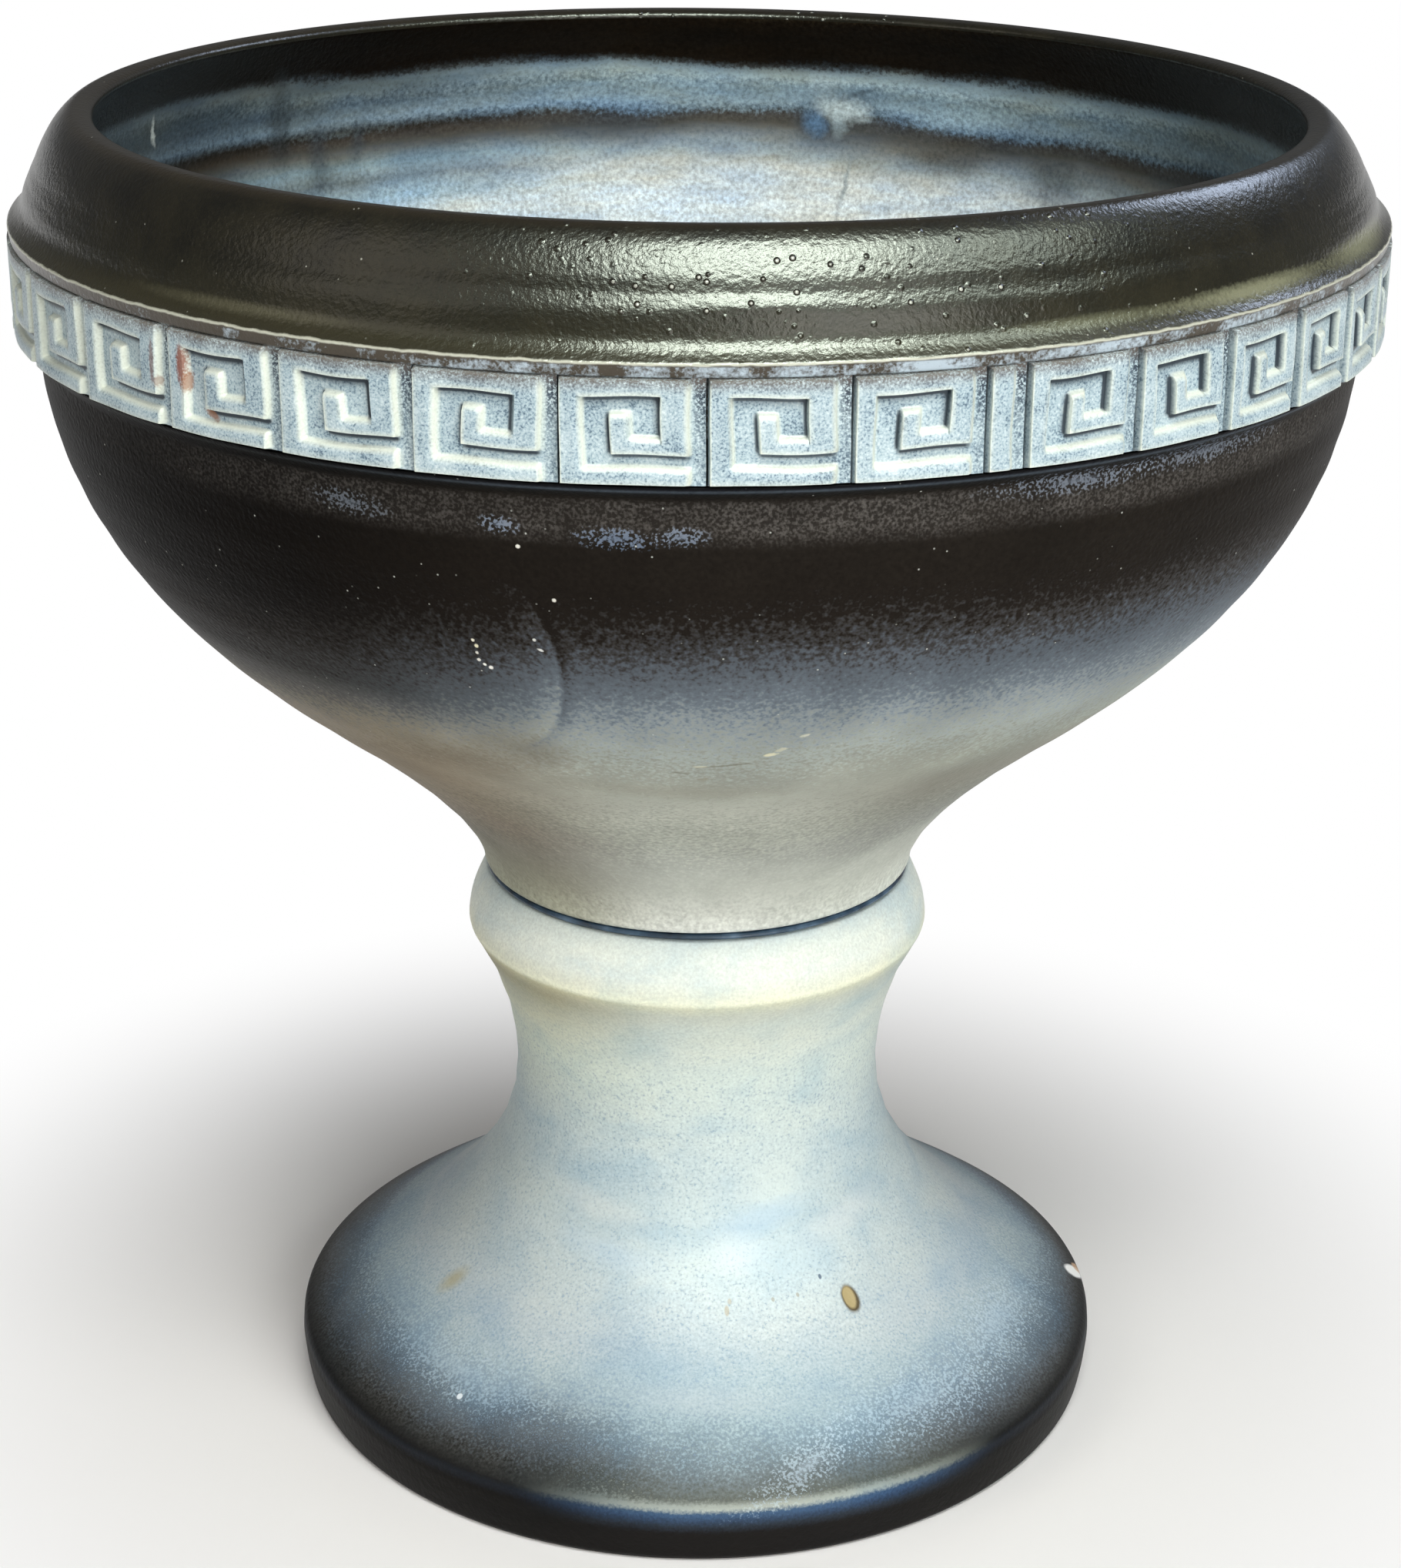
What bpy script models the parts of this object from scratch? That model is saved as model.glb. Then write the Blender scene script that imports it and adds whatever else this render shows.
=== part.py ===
# Pedestal bowl: an incurved bowl with a raised strap of key-pattern relief tiles, luted to a
# hollow trumpet foot.  Metres, +Z up, the foot's underside on Z = 0 and the axis on Z.
import math

import bmesh
import bpy
from mathutils import Vector

MM = 0.001

# pedestal, in millimetres, from the table upwards
FOOT_R = 76.0            # base band of the foot
FOOT_RING_W = 10.1       # flat underside that the bowl stands on
BASE_H = 11.0            # arris between base band and dome
DOME_R = 56.5            # where the dome turns into the flare
DOME_RISE = 13.4         # from the arris up to there
STEM_R = 33.75           # narrowest part of the stem
STEM_RISE = 51.8         # from the arris up to the narrowest part
STEM_WALL = 6.1
COLLAR_RISE = 28.8       # from the narrowest part up to the collar's arris
COLLAR_OUT = 3.4         # how far the collar stands out beyond the neck
COLLAR_W = 10.6          # from the collar's arris up to the joint
NECK_R = 38.9            # where bowl and pedestal meet

# joint between bowl and pedestal
CLEARANCE = 0.3          # slip-filled gap between pieces that touch
JOINT_T = 1.0            # thickness of the luting ring
SEAT_W = 7.4             # flat seat round the spigot
SPIGOT_L = 8.0           # how far the bowl's spigot drops into the bore

# bowl, heights from the seat upwards
KNEE_R = 67.3            # where the hollow lower flank turns into the full upper flank
KNEE_RISE = 33.1
BAND_R = 116.0           # raised faces of the tiles, the widest ring
BAND_RISE = 102.7        # lower edge of the tiles
SHOULDER_R = 111.0       # where the cove above the strap turns into the shoulder
SHOULDER_RISE = 10.5     # from the tiles' upper edge
LIP_R = 104.2            # crown of the lip
LIP_RISE = 19.3          # from the tiles' upper edge
LIP_WALL = 3.2           # from the lip's crown in to its inner edge
WALL = 6.0               # wall of the flank
FLOOR_T = 8.4            # floor above the seat

# relief tiles on the strap
TILE_COUNT = 36
TILE_H = 15.2
TILE_T = 2.5             # from the tile's back to its raised face
RELIEF = 1.2             # depth of the sunken channel
DRAFT = 0.3              # how far a raised bar narrows towards its face
TILE_JOINT = 0.4         # open joint between neighbours
STRAP_SET = 0.8          # strap's borders lie this far behind the raised faces
BORDER_H = 2.3           # border above the tiles, up to the strap's arris
LEDGE_H = 2.8            # chamfered border below the tiles
FILLER_DEG = 3.2         # strip that closes the run of tiles
FILLER_AFTER = 2         # tiles between the front joint and the strip
SPACING_DRIFT = 0.145    # tiles run wider on the left of the front joint, tighter on the right
SPACING_FRONT = 0.033    # and a little wider in front than behind
FRONT_JOINT_DEG = 0.3    # the front joint lies this far right of the middle

BOWL_SEGMENTS = 60
PEDESTAL_SEGMENTS = 52

STEM_H = BASE_H + STEM_RISE
COLLAR_H = STEM_H + COLLAR_RISE
PEDESTAL_H = COLLAR_H + COLLAR_W
SEAT_H = PEDESTAL_H + JOINT_T + 2 * CLEARANCE
SOCKET_R = NECK_R - SEAT_W
TILE_LOW = SEAT_H + BAND_RISE
TILE_HIGH = TILE_LOW + TILE_H
TILE_BACK_R = BAND_R - TILE_T
BED_R = TILE_BACK_R - CLEARANCE
STRAP_R = BAND_R - STRAP_SET


def sweep(start, end, pull_start, pull_end, count):
    """Points on a cubic curve, its first end left out; the pulls are shares of its width and height."""
    size = (end[0] - start[0], end[1] - start[1])
    handles = [tuple(start[k] + pull[k] * size[k] for k in (0, 1)) for pull in (pull_start, pull_end)]
    points = []
    for i in range(1, count + 1):
        t = i / count
        s = 1 - t
        weights = (s ** 3, 3 * s * s * t, 3 * s * t * t, t ** 3)
        points.append(tuple(sum(w * p[k] for w, p in zip(weights, (start, *handles, end))) for k in (0, 1)))
    return points


def bowl_profile():
    """Radius and height in mm, from the floor inside over the lip and down to the spigot."""
    floor_h = SEAT_H + FLOOR_T
    lip_h = TILE_HIGH + LIP_RISE
    lip_in = LIP_R - LIP_WALL
    flank_r = BED_R - 1.1
    knee = (KNEE_R, SEAT_H + KNEE_RISE)
    knee_in = (KNEE_R - 0.61 * WALL, knee[1] + 0.79 * WALL)
    belly_in = (BED_R - 0.75 * WALL, TILE_LOW + 0.4 * TILE_H)
    strap_top = TILE_HIGH + BORDER_H
    spigot_r = SOCKET_R - CLEARANCE
    spigot_low = SEAT_H - SPIGOT_L
    # inside, up to the lip
    p = [(0, floor_h), (0.4 * NECK_R, floor_h + 0.2)]
    p += sweep(p[-1], knee_in, (0.38, 0.02), (0.66, 0.60), 5)
    p += sweep(p[-1], belly_in, (0.42, 0.20), (0.93, 0.52), 6)
    p += sweep(p[-1], (lip_in, lip_h - 1.9), (0, 0.44), (0.56, 0.78), 3)
    p += sweep(p[-1], (LIP_R, lip_h), (-0.2, 0.85), (0.4, 1), 3)
    # shoulder, cove and strap
    p += sweep(p[-1], (SHOULDER_R, TILE_HIGH + SHOULDER_RISE), (0.35, 0.05), (0.85, 0.66), 4)
    p += sweep(p[-1], (STRAP_R, strap_top), (0.3, 0.46), (0.62, 0.76), 3)
    p += [(STRAP_R, strap_top - 0.7), (STRAP_R - 0.1, TILE_HIGH + CLEARANCE), (BED_R, TILE_HIGH + CLEARANCE)]
    p += [(BED_R, TILE_LOW - CLEARANCE), (STRAP_R - 0.5, TILE_LOW - CLEARANCE)]
    p += [(STRAP_R - 0.8, TILE_LOW - CLEARANCE - 0.5), (flank_r, TILE_LOW - CLEARANCE - LEDGE_H)]
    # flank and neck
    p += sweep(p[-1], knee, (0.04, 0.50), (0.59, 0.79), 8)
    p += sweep(p[-1], (NECK_R + 0.2, SEAT_H + 0.5), (0.70, 0.47), (0.98, 0.80), 6)
    # seat and spigot
    p += [(NECK_R - 0.2, SEAT_H), (spigot_r, SEAT_H), (spigot_r, spigot_low + 0.8)]
    p += [(spigot_r - 0.8, spigot_low), (0, spigot_low)]
    return p


def pedestal_profile():
    """Radius and height in mm, down the outside, across the foot ring and up the bore."""
    collar_r = NECK_R + COLLAR_OUT
    ring_out = FOOT_R - 1.9
    ring_in = ring_out - FOOT_RING_W
    bore = STEM_R - STEM_WALL
    # collar and stem
    p = [(SOCKET_R, PEDESTAL_H), (NECK_R - 0.2, PEDESTAL_H), (NECK_R + 0.1, PEDESTAL_H - 0.4)]
    p += sweep(p[-1], (collar_r, COLLAR_H + 0.5), (0.42, 0.25), (0.88, 0.64), 3)
    p += [(collar_r - 0.2, COLLAR_H - 0.4)]
    p += sweep(p[-1], (STEM_R, STEM_H), (0.43, 0.2), (1, 0.56), 5)
    p += sweep(p[-1], (DOME_R, BASE_H + DOME_RISE), (0, 0.34), (0.26, 0.67), 7)
    # dome and base band
    p += sweep(p[-1], (FOOT_R - 0.7, BASE_H + 0.6), (0.37, 0.39), (0.73, 0.70), 4)
    p += [(FOOT_R - 0.2, BASE_H - 0.3), (FOOT_R, 0.75 * BASE_H), (FOOT_R - 0.4, 0.4 * BASE_H)]
    p += [(FOOT_R - 1.0, 1.0), (ring_out, 0), (ring_in, 0), (ring_in - 1.4, 2.4)]
    # hollow underside and bore
    p += sweep(p[-1], (bore, STEM_H), (0.13, 0.19), (1, 0.62), 6)
    p += sweep(p[-1], (SOCKET_R, COLLAR_H - 1.6), (0, 0.48), (1, 0.63), 3)
    return p


def luting_profile():
    """Radius and height in mm of the slip squeezed out between seat and pedestal."""
    low = PEDESTAL_H + CLEARANCE
    high = low + JOINT_T
    inner = SOCKET_R + 0.7
    return [(inner, high), (NECK_R - 0.4, high), (NECK_R - 0.1, high - JOINT_T / 2),
            (NECK_R - 0.4, low), (inner, low)]


def make_object(name, bm, look, smooth_deg):
    bmesh.ops.remove_doubles(bm, verts=bm.verts, dist=1e-6)
    bmesh.ops.recalc_face_normals(bm, faces=bm.faces)
    mesh = bpy.data.meshes.new(name)
    bm.to_mesh(mesh)
    bm.free()
    obj = bpy.data.objects.new(name, mesh)
    bpy.context.scene.collection.objects.link(obj)
    colour, roughness = look
    material = bpy.data.materials.new(name + "_glaze")
    material.use_nodes = True
    shader = material.node_tree.nodes["Principled BSDF"]
    shader.inputs["Base Color"].default_value = (*colour, 1)
    shader.inputs["Roughness"].default_value = roughness
    shader.inputs["Metallic"].default_value = 0
    mesh.materials.append(material)
    mesh.shade_smooth()
    mesh.set_sharp_from_angle(angle=math.radians(smooth_deg))
    return obj


def turned(name, profile, segments, look):
    """A piece turned on the wheel: the profile spun once round the axis."""
    bm = bmesh.new()
    verts = [bm.verts.new((r * MM, 0, z * MM)) for r, z in profile]
    edges = [bm.edges.new(pair) for pair in zip(verts, verts[1:])]
    if profile[0][0] > 0:
        edges.append(bm.edges.new((verts[-1], verts[0])))
    bmesh.ops.spin(bm, geom=verts + edges, cent=(0, 0, 0), axis=(0, 0, 1),
                   angle=2 * math.pi, steps=segments, use_merge=True)
    return make_object(name, bm, look, 32)


# raised bars of the key: X is raised, . is sunken; rows run from the tile's top, and the last
# column is the gutter that parts one key from the next
KEY_U = (0, 0.18, 0.34, 0.51, 0.69, 0.91, 1)
KEY_V = (0, 0.19, 0.31, 0.53, 0.715, 0.81, 1)
KEY_ROWS = ("XXXXX.", "X...X.", "X.X.X.", "X.XXX.", "X.....", "XXXXX.")

# the closing strip: one plain bar and its gutter
STRIP_U = (0, 0.72, 1)
STRIP_V = (0, 1)
STRIP_ROWS = ("X.",)


def relief_tile(name, start, end, us, vs, rows, look):
    """A sprigged tile between two angles: bars stand up from a sunken ground on a bent slab."""
    bm = bmesh.new()
    span = end - start
    width = span * BAND_R
    columns = len(us) - 1
    lines = len(vs) - 1
    cache = {}

    def raised(i, j):
        if 0 <= i < columns and 0 <= j < lines:
            return int(rows[j][i] == "X")
        return 0

    def draft(i, j):
        """How far a raised corner leans in, away from the sunken side."""
        steps_u = [raised(i, k) - raised(i - 1, k) for k in (j - 1, j)]
        steps_v = [raised(k, j) - raised(k, j - 1) for k in (i - 1, i)]
        return (DRAFT * max(min(sum(steps_u), 1), -1), DRAFT * max(min(sum(steps_v), 1), -1))

    def vert(i, j, level):
        key = (i, j, level)
        if key not in cache:
            du, dv = draft(i, j) if level == "face" else (0, 0)
            radius = {"face": BAND_R, "ground": BAND_R - RELIEF, "back": TILE_BACK_R}[level]
            # a Greek key seen from outside: u grows to the right, v grows downwards
            angle = start + span * us[i] + du / width * span
            height = TILE_LOW + TILE_H * (1 - vs[j]) - dv
            place = Vector((radius * math.sin(angle), -radius * math.cos(angle), height))
            cache[key] = bm.verts.new(place * MM)
        return cache[key]

    def level(i, j):
        inside = 0 <= i < columns and 0 <= j < lines
        return ("face" if raised(i, j) else "ground") if inside else "back"

    def on_ground(i, j):
        return any(level(a, b) == "ground" for a in (i - 1, i) for b in (j - 1, j))

    for j in range(lines):
        for i in range(columns):
            here = level(i, j)
            bm.faces.new([vert(a, b, here) for a, b in ((i, j), (i, j + 1), (i + 1, j + 1), (i + 1, j))])
            sides = (((i - 1, j), (i, j), (i, j + 1)), ((i + 1, j), (i + 1, j), (i + 1, j + 1)),
                     ((i, j - 1), (i, j), (i + 1, j)), ((i, j + 1), (i, j + 1), (i + 1, j + 1)))
            for other, a, b in sides:
                there = level(*other)
                rank = ("back", "ground", "face")
                if rank.index(here) > rank.index(there):
                    ends = [vert(*a, here), vert(*b, here)]
                    through = here == "face" and there == "back"
                    ends += [vert(*b, "ground")] * (through and on_ground(*b))
                    ends += [vert(*b, there), vert(*a, there)]
                    ends += [vert(*a, "ground")] * (through and on_ground(*a))
                    bm.faces.new(ends)
    for i in range(columns):
        left = range(lines + 1) if i == 0 else (0, lines)
        right = range(lines + 1) if i == columns - 1 else (0, lines)
        ring = [vert(i, j, "back") for j in left] + [vert(i + 1, j, "back") for j in reversed(right)]
        bm.faces.new(ring)
    return make_object(name, bm, look, 25)


def seam_angle(position):
    """Angle of a tile joint: even steps, stretched in front and on the left, squeezed elsewhere."""
    drift = SPACING_DRIFT * (math.cos(position) - 1) + SPACING_FRONT * math.sin(position)
    return position + drift + math.radians(FRONT_JOINT_DEG)


for old in list(bpy.data.objects):
    bpy.data.objects.remove(old)

turned("bowl", bowl_profile(), BOWL_SEGMENTS, ((0.05, 0.048, 0.045), 0.35))
turned("pedestal", pedestal_profile(), PEDESTAL_SEGMENTS, ((0.52, 0.58, 0.60), 0.3))
turned("luting_ring", luting_profile(), PEDESTAL_SEGMENTS, ((0.06, 0.10, 0.16), 0.4))

TILE_LOOK = ((0.50, 0.56, 0.62), 0.32)
filler = math.radians(FILLER_DEG)
pitch = (2 * math.pi - filler) / TILE_COUNT
half_joint = TILE_JOINT / BAND_R / 2
place = FILLER_AFTER * pitch
relief_tile("filler_strip", seam_angle(place) + half_joint, seam_angle(place + filler) - half_joint,
            STRIP_U, STRIP_V, STRIP_ROWS, TILE_LOOK)
place += filler
for number in range(1, TILE_COUNT + 1):
    first = seam_angle(place) + half_joint
    last = seam_angle(place + pitch) - half_joint
    relief_tile("key_tile_%02d" % number, first, last, KEY_U, KEY_V, KEY_ROWS, TILE_LOOK)
    place += pitch
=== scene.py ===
import math
from functools import partial

import bpy
import numpy as np
from mathutils import Matrix


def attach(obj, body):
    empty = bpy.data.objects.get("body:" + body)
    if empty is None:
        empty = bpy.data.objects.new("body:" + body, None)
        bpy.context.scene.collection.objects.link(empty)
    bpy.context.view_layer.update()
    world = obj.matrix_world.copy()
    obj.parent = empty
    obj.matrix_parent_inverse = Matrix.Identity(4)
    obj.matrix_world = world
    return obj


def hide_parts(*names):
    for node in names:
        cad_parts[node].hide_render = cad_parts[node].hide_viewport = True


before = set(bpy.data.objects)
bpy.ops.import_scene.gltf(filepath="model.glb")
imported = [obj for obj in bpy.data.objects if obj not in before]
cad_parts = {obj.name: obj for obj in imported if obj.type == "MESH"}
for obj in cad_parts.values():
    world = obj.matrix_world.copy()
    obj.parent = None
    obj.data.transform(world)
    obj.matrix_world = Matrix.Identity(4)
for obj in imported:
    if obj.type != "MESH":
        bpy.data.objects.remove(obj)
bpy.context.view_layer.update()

# A glazed stoneware pedestal bowl.  Sizes are in millimetres in the frame's axes: the foot stands
# on Z = 0, -Y faces the camera, and angles run from there to the viewer's right.
MM = 0.001
TURN = 2 * math.pi


# ---------------------------------------------------------------- turned outlines

def outline(start, *steps):
    """Points along a turned outline.  A step is a corner, or a corner and the two pulls of the
    cubic that leads to it, as shares of its width and height."""
    points = [np.array(start, float)]
    for step in steps:
        if len(step) == 2:
            points.append(np.array(step, float))
            continue
        first, corner = points[-1], np.array(step[0], float)
        near, far = (first + np.array(pull) * (corner - first) for pull in step[1:])
        for t in np.linspace(0, 1, 41)[1:]:
            s = 1 - t
            points.append(s ** 3 * first + 3 * s * s * t * near + 3 * s * t * t * far + t ** 3 * corner)
    return np.array(points)


# the shoulder, from its bead down to the foot of the cove: heights, and the wall's lean there in degrees
SHOULDER_LEANS = (
    (234.2, 25.5), (233.6, 21), (233.2, 22.5), (232.8, 29.5), (232.45, 36), (232.0, 37), (231.5, 35.5),
    (231.0, 31), (230.5, 26.5), (229.7, 19.5), (228.8, 16.5), (228.0, 16.5), (227.2, 21), (226.6, 30.5),
    (226.2, 36), (225.8, 38), (225.3, 43), (224.8, 49), (224.4, 51), (224.0, 51))
SHOULDER_START = 110.14
LEAN_SHARE = 0.95        # share of the leans that keeps the cove's foot inside the band


def leaning_wall(radius, leans):
    """Points down a wall, to a hundredth of a millimetre, from its lean at some heights."""
    points = [(radius, leans[0][0])]
    for (high, lean), (low, next_lean) in zip(leans, leans[1:]):
        radius += (high - low) * math.tan(math.radians((lean + next_lean) / 2)) * LEAN_SHARE
        points.append((round(radius, 2), low))
    return points


SHOULDER_WALL = leaning_wall(SHOULDER_START, SHOULDER_LEANS)
BOWL_INSIDE = outline(
    (0, 112.2), (15.6, 112.4),
    ((63.6, 141.6), (0.38, 0.02), (0.66, 0.60)),
    ((108.7, 212.6), (0.42, 0.20), (0.93, 0.52)),
    ((101.0, 239.1), (0, 0.44), (0.56, 0.78)),
    ((104.2, 241.0), (-0.2, 0.85), (0.4, 1)))
BOWL_OUTSIDE = outline(
    (104.2, 241.0),
    (SHOULDER_WALL[0], (0.321, 0.052), (0.753, 0.57)), *SHOULDER_WALL[1:],
    (115.65, 223.3), (115.5, 222.0), (113.2, 222.0), (113.2, 206.2), (114.7, 206.2),
    (114.4, 205.7), (112.1, 203.4),
    ((67.3, 136.9), (0.04, 0.50), (0.59, 0.79)),
    ((39.1, 104.3), (0.70, 0.47), (0.98, 0.80)),
    (38.7, 103.8), (31.2, 103.8), (31.2, 96.6), (30.4, 95.8), (0, 95.8))
PEDESTAL_OUTSIDE = outline(
    (31.5, 102.2), (38.7, 102.2), (39.0, 101.8),
    ((42.3, 92.1), (0.42, 0.25), (0.88, 0.64)), (42.1, 91.2),
    ((33.75, 62.8), (0.43, 0.2), (1, 0.56)),
    ((56.5, 24.4), (0, 0.34), (0.26, 0.67)),
    ((75.3, 11.6), (0.37, 0.39), (0.73, 0.70)),
    (75.8, 10.7), (76.0, 8.25), (75.6, 4.4), (75.0, 1.0), (74.1, 0))
PEDESTAL_INSIDE = outline(
    (74.1, 0), (64.0, 0), (62.6, 2.4),
    ((27.65, 62.8), (0.13, 0.19), (1, 0.62)),
    ((31.5, 90.0), (0, 0.48), (1, 0.63)), (31.5, 102.2))
SLIP_BEAD = outline(
    (32.2, 103.5), (38.4, 103.5), (38.8, 103.0), (38.4, 102.5), (32.2, 102.5), (32.2, 103.5))

GLAZE_STEP = 0.1         # spacing at which an outline is rounded off
ROW_BEND = math.radians(7)     # most that an outline turns between two rows


def glazed(parts, radius, coarse, closed=False):
    """Rows of a turned piece: its outline with the corners rounded as a glaze coat rounds them, kept
    close where it bends and `coarse` mm apart where it runs straight.  The third column tells the
    first part (0) from the second (1)."""
    points = np.vstack([parts[0]] + [part[1:] for part in parts[1:]])
    run = np.concatenate([[0], np.cumsum(np.hypot(*np.diff(points, axis=0).T))])
    first_run = run[len(parts[0]) - 1]
    along = np.arange(0, run[-1] + GLAZE_STEP / 2, GLAZE_STEP)
    dense = np.stack([np.interp(along, run, points[:, k]) for k in (0, 1)], axis=1)
    reach = int(3 * radius / GLAZE_STEP)
    weight = np.exp(-0.5 * (np.arange(-reach, reach + 1) * GLAZE_STEP / radius) ** 2)
    weight /= weight.sum()
    if closed:
        padded = np.vstack([dense[-reach - 1:-1], dense, dense[1:reach + 1]])
    else:
        before, after = 2 * dense[0] - dense[reach:0:-1], 2 * dense[-1] - dense[-2:-reach - 2:-1]
        padded = np.vstack([before, dense, after])
    soft = np.stack([np.convolve(padded[:, k], weight, "valid") for k in (0, 1)], axis=1)
    heading = np.unwrap(np.arctan2(*np.gradient(soft, axis=0).T))
    bends = np.abs(np.diff(heading)) / ROW_BEND
    cost = np.concatenate([[0], np.cumsum(bends + GLAZE_STEP / coarse)])
    picks = np.searchsorted(cost, np.linspace(0, cost[-1], int(cost[-1]) + 1))
    picks = np.unique(np.clip(picks, 0, len(soft) - 1))
    if closed:
        picks = picks[:-1]
    return np.column_stack([soft[picks], along[picks] > first_run])


def make_piece(name, points, faces, materials, node, sharp_deg, marks, zones=None):
    """Puts a finished mesh in the scene: vertex marks drive the glaze, and the piece stands for its
    node on the one rigid body."""
    mesh = bpy.data.meshes.new(name)
    mesh.from_pydata([tuple(p) for p in points * MM], [], faces)
    for mark, values in marks.items():
        layer = mesh.attributes.new(mark, "FLOAT", "POINT")
        layer.data.foreach_set("value", np.asarray(values, np.float32))
    for material in materials:
        mesh.materials.append(material)
    if zones is not None:
        mesh.polygons.foreach_set("material_index", zones)
    mesh.shade_smooth()
    mesh.set_sharp_from_angle(angle=math.radians(sharp_deg))
    piece = bpy.data.objects.new(name, mesh)
    bpy.context.scene.collection.objects.link(piece)
    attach(piece, "root")
    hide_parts(node)


def turned(rows, columns, hand, closed=False):
    """Points and faces of a thrown piece: the rows spun round the axis, moved by the maker's hand."""
    angles = np.linspace(0, TURN, columns, endpoint=False)
    points, numbers, row_of = [], [], []
    for row, (r, z, _) in enumerate(rows):
        if r < 0.02:
            numbers.append([len(points)] * columns)
            points.append((0, 0, z))
            row_of.append(row)
            continue
        numbers.append(list(range(len(points), len(points) + columns)))
        out, up = hand(r, z, angles)
        points += list(zip((r + out) * np.sin(angles), -(r + out) * np.cos(angles), z + up + 0 * angles))
        row_of += [row] * columns
    faces = []
    last = len(rows) if closed else len(rows) - 1
    for i in range(last):
        above, below = numbers[i], numbers[(i + 1) % len(rows)]
        for j in range(columns):
            k = (j + 1) % columns
            faces.append(tuple(dict.fromkeys((above[j], below[j], below[k], above[k]))))
    return np.array(points), faces, np.array(row_of)


# ---------------------------------------------------------------- glaze materials

def linear(hex_colour):
    """An sRGB hex colour as the linear colour that a shader takes."""
    channels = [int(hex_colour[k:k + 2], 16) / 255 for k in (1, 3, 5)]
    return (*(c / 12.92 if c <= 0.04045 else ((c + 0.055) / 1.055) ** 2.4 for c in channels), 1)


def per(size_mm):
    """Texture scale at which a pattern's cells are this many millimetres across."""
    return 1 / (size_mm * MM)


def feed(node, inputs):
    """Sets a node's inputs, given in the node's order or by name.  An input is a value, the socket that
    feeds it, or a node whose first output in use feeds it."""
    for socket, value in inputs.items() if isinstance(inputs, dict) else enumerate(inputs):
        if isinstance(value, bpy.types.Node):
            value = next(output for output in value.outputs if output.enabled)
        if isinstance(value, bpy.types.NodeSocket):
            node.id_data.links.new(value, node.inputs[socket])
        else:
            node.inputs[socket].default_value = value


def add_node(tree, kind, inputs=(), stops=(), **settings):
    """Adds a shader node with its settings, its inputs and the stops of its colour ramp."""
    node = tree.nodes.new("ShaderNode" + kind)
    for setting, value in settings.items():
        setattr(node, setting, value)
    feed(node, inputs)
    if stops:
        elements = node.color_ramp.elements
        while len(elements) < len(stops):
            elements.new(1)
        for element, (place, colour) in zip(elements, stops):
            element.position = place
            element.color = linear(colour)
    return node


def new_glaze(name):
    """A new material, what adds nodes to it, its shader and the place on the piece in metres."""
    material = bpy.data.materials.new(name)
    material.use_nodes = True
    add = partial(add_node, material.node_tree)
    shader = material.node_tree.nodes["Principled BSDF"]
    return material, add, shader, add("TexCoord").outputs["Object"]


def measures(add, place):
    """X and Y of a place in metres, and its height in millimetres."""
    axes = add("SeparateXYZ", [place])
    height = add("Math", [axes.outputs["Z"], 1 / MM], operation="MULTIPLY")
    return axes.outputs["X"], axes.outputs["Y"], height


def angle_round(add, x, y):
    """Angle from the front in radians, to the viewer's right."""
    facing = add("Math", [y, -1.0], operation="MULTIPLY")
    return add("Math", [x, facing], operation="ARCTAN2")


def pin_specks(add, place, cell, faint):
    """Cover of pin specks of 0.4 mm and less, half of them faint, in cells of this many millimetres."""
    pins = add("TexVoronoi", {"Vector": place, "Scale": per(cell)})
    spots = add("MapRange", [pins.outputs["Distance"], 0.07, 0.035])
    bright = add("MapRange", [pins.outputs["Color"], faint, 1.0])
    return add("Math", [spots, bright], operation="MULTIPLY")


def orange_peel(add, place, size, detail, strength, depth):
    """The dimpled skin of a glaze, as a bump; size and depth of the dimples in millimetres."""
    peel = add("TexNoise", {"Vector": place, "Scale": per(size), "Detail": detail})
    return add("Bump", {"Height": peel, "Strength": strength, "Distance": depth * MM})


def on_wall(turn, radius, height):
    """The point in metres at an angle round the axis, a radius and a height."""
    return radius * MM * math.sin(turn), -radius * MM * math.cos(turn), height * MM


NOISE = 0.3, 0.7         # the values of a noise lie mostly between these
LAID_OVER = {"data_type": "RGBA"}       # how a mix node joins two colours
TINTED = {"data_type": "RGBA", "blend_type": "MULTIPLY"}


def by_height(span, table):
    """Ramp stops from a table of heights and colours, lowest first."""
    return [((height - span[0]) / (span[1] - span[0]), colour) for height, colour in table]


# heights and colours, lowest first.  Flank: a pale spray from below thins out over the iron-black dip
FLANK_COLOURS = (
    (103, "#9aa6aa"), (104.6, "#ced1c9"), (107.5, "#c3c6bd"), (114, "#aeb1a8"), (121, "#a3a69e"),
    (130, "#a6a99e"), (140, "#adafa4"), (150, "#989b91"), (157, "#979e98"), (161, "#8d9493"),
    (165, "#7a8489"), (168.5, "#636c74"), (172, "#5a6269"), (176, "#50555b"), (179.5, "#3d3e40"),
    # the near-black stops from 204.9 to 206, just under the tiles and their ledge, are painted shadow
    (183, "#302e2c"), (187, "#1a1612"), (203.8, "#1a1713"), (204.9, "#1a1b1b"), (205.3, "#414951"),
    (205.7, "#15161a"), (206, "#090909"))
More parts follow.
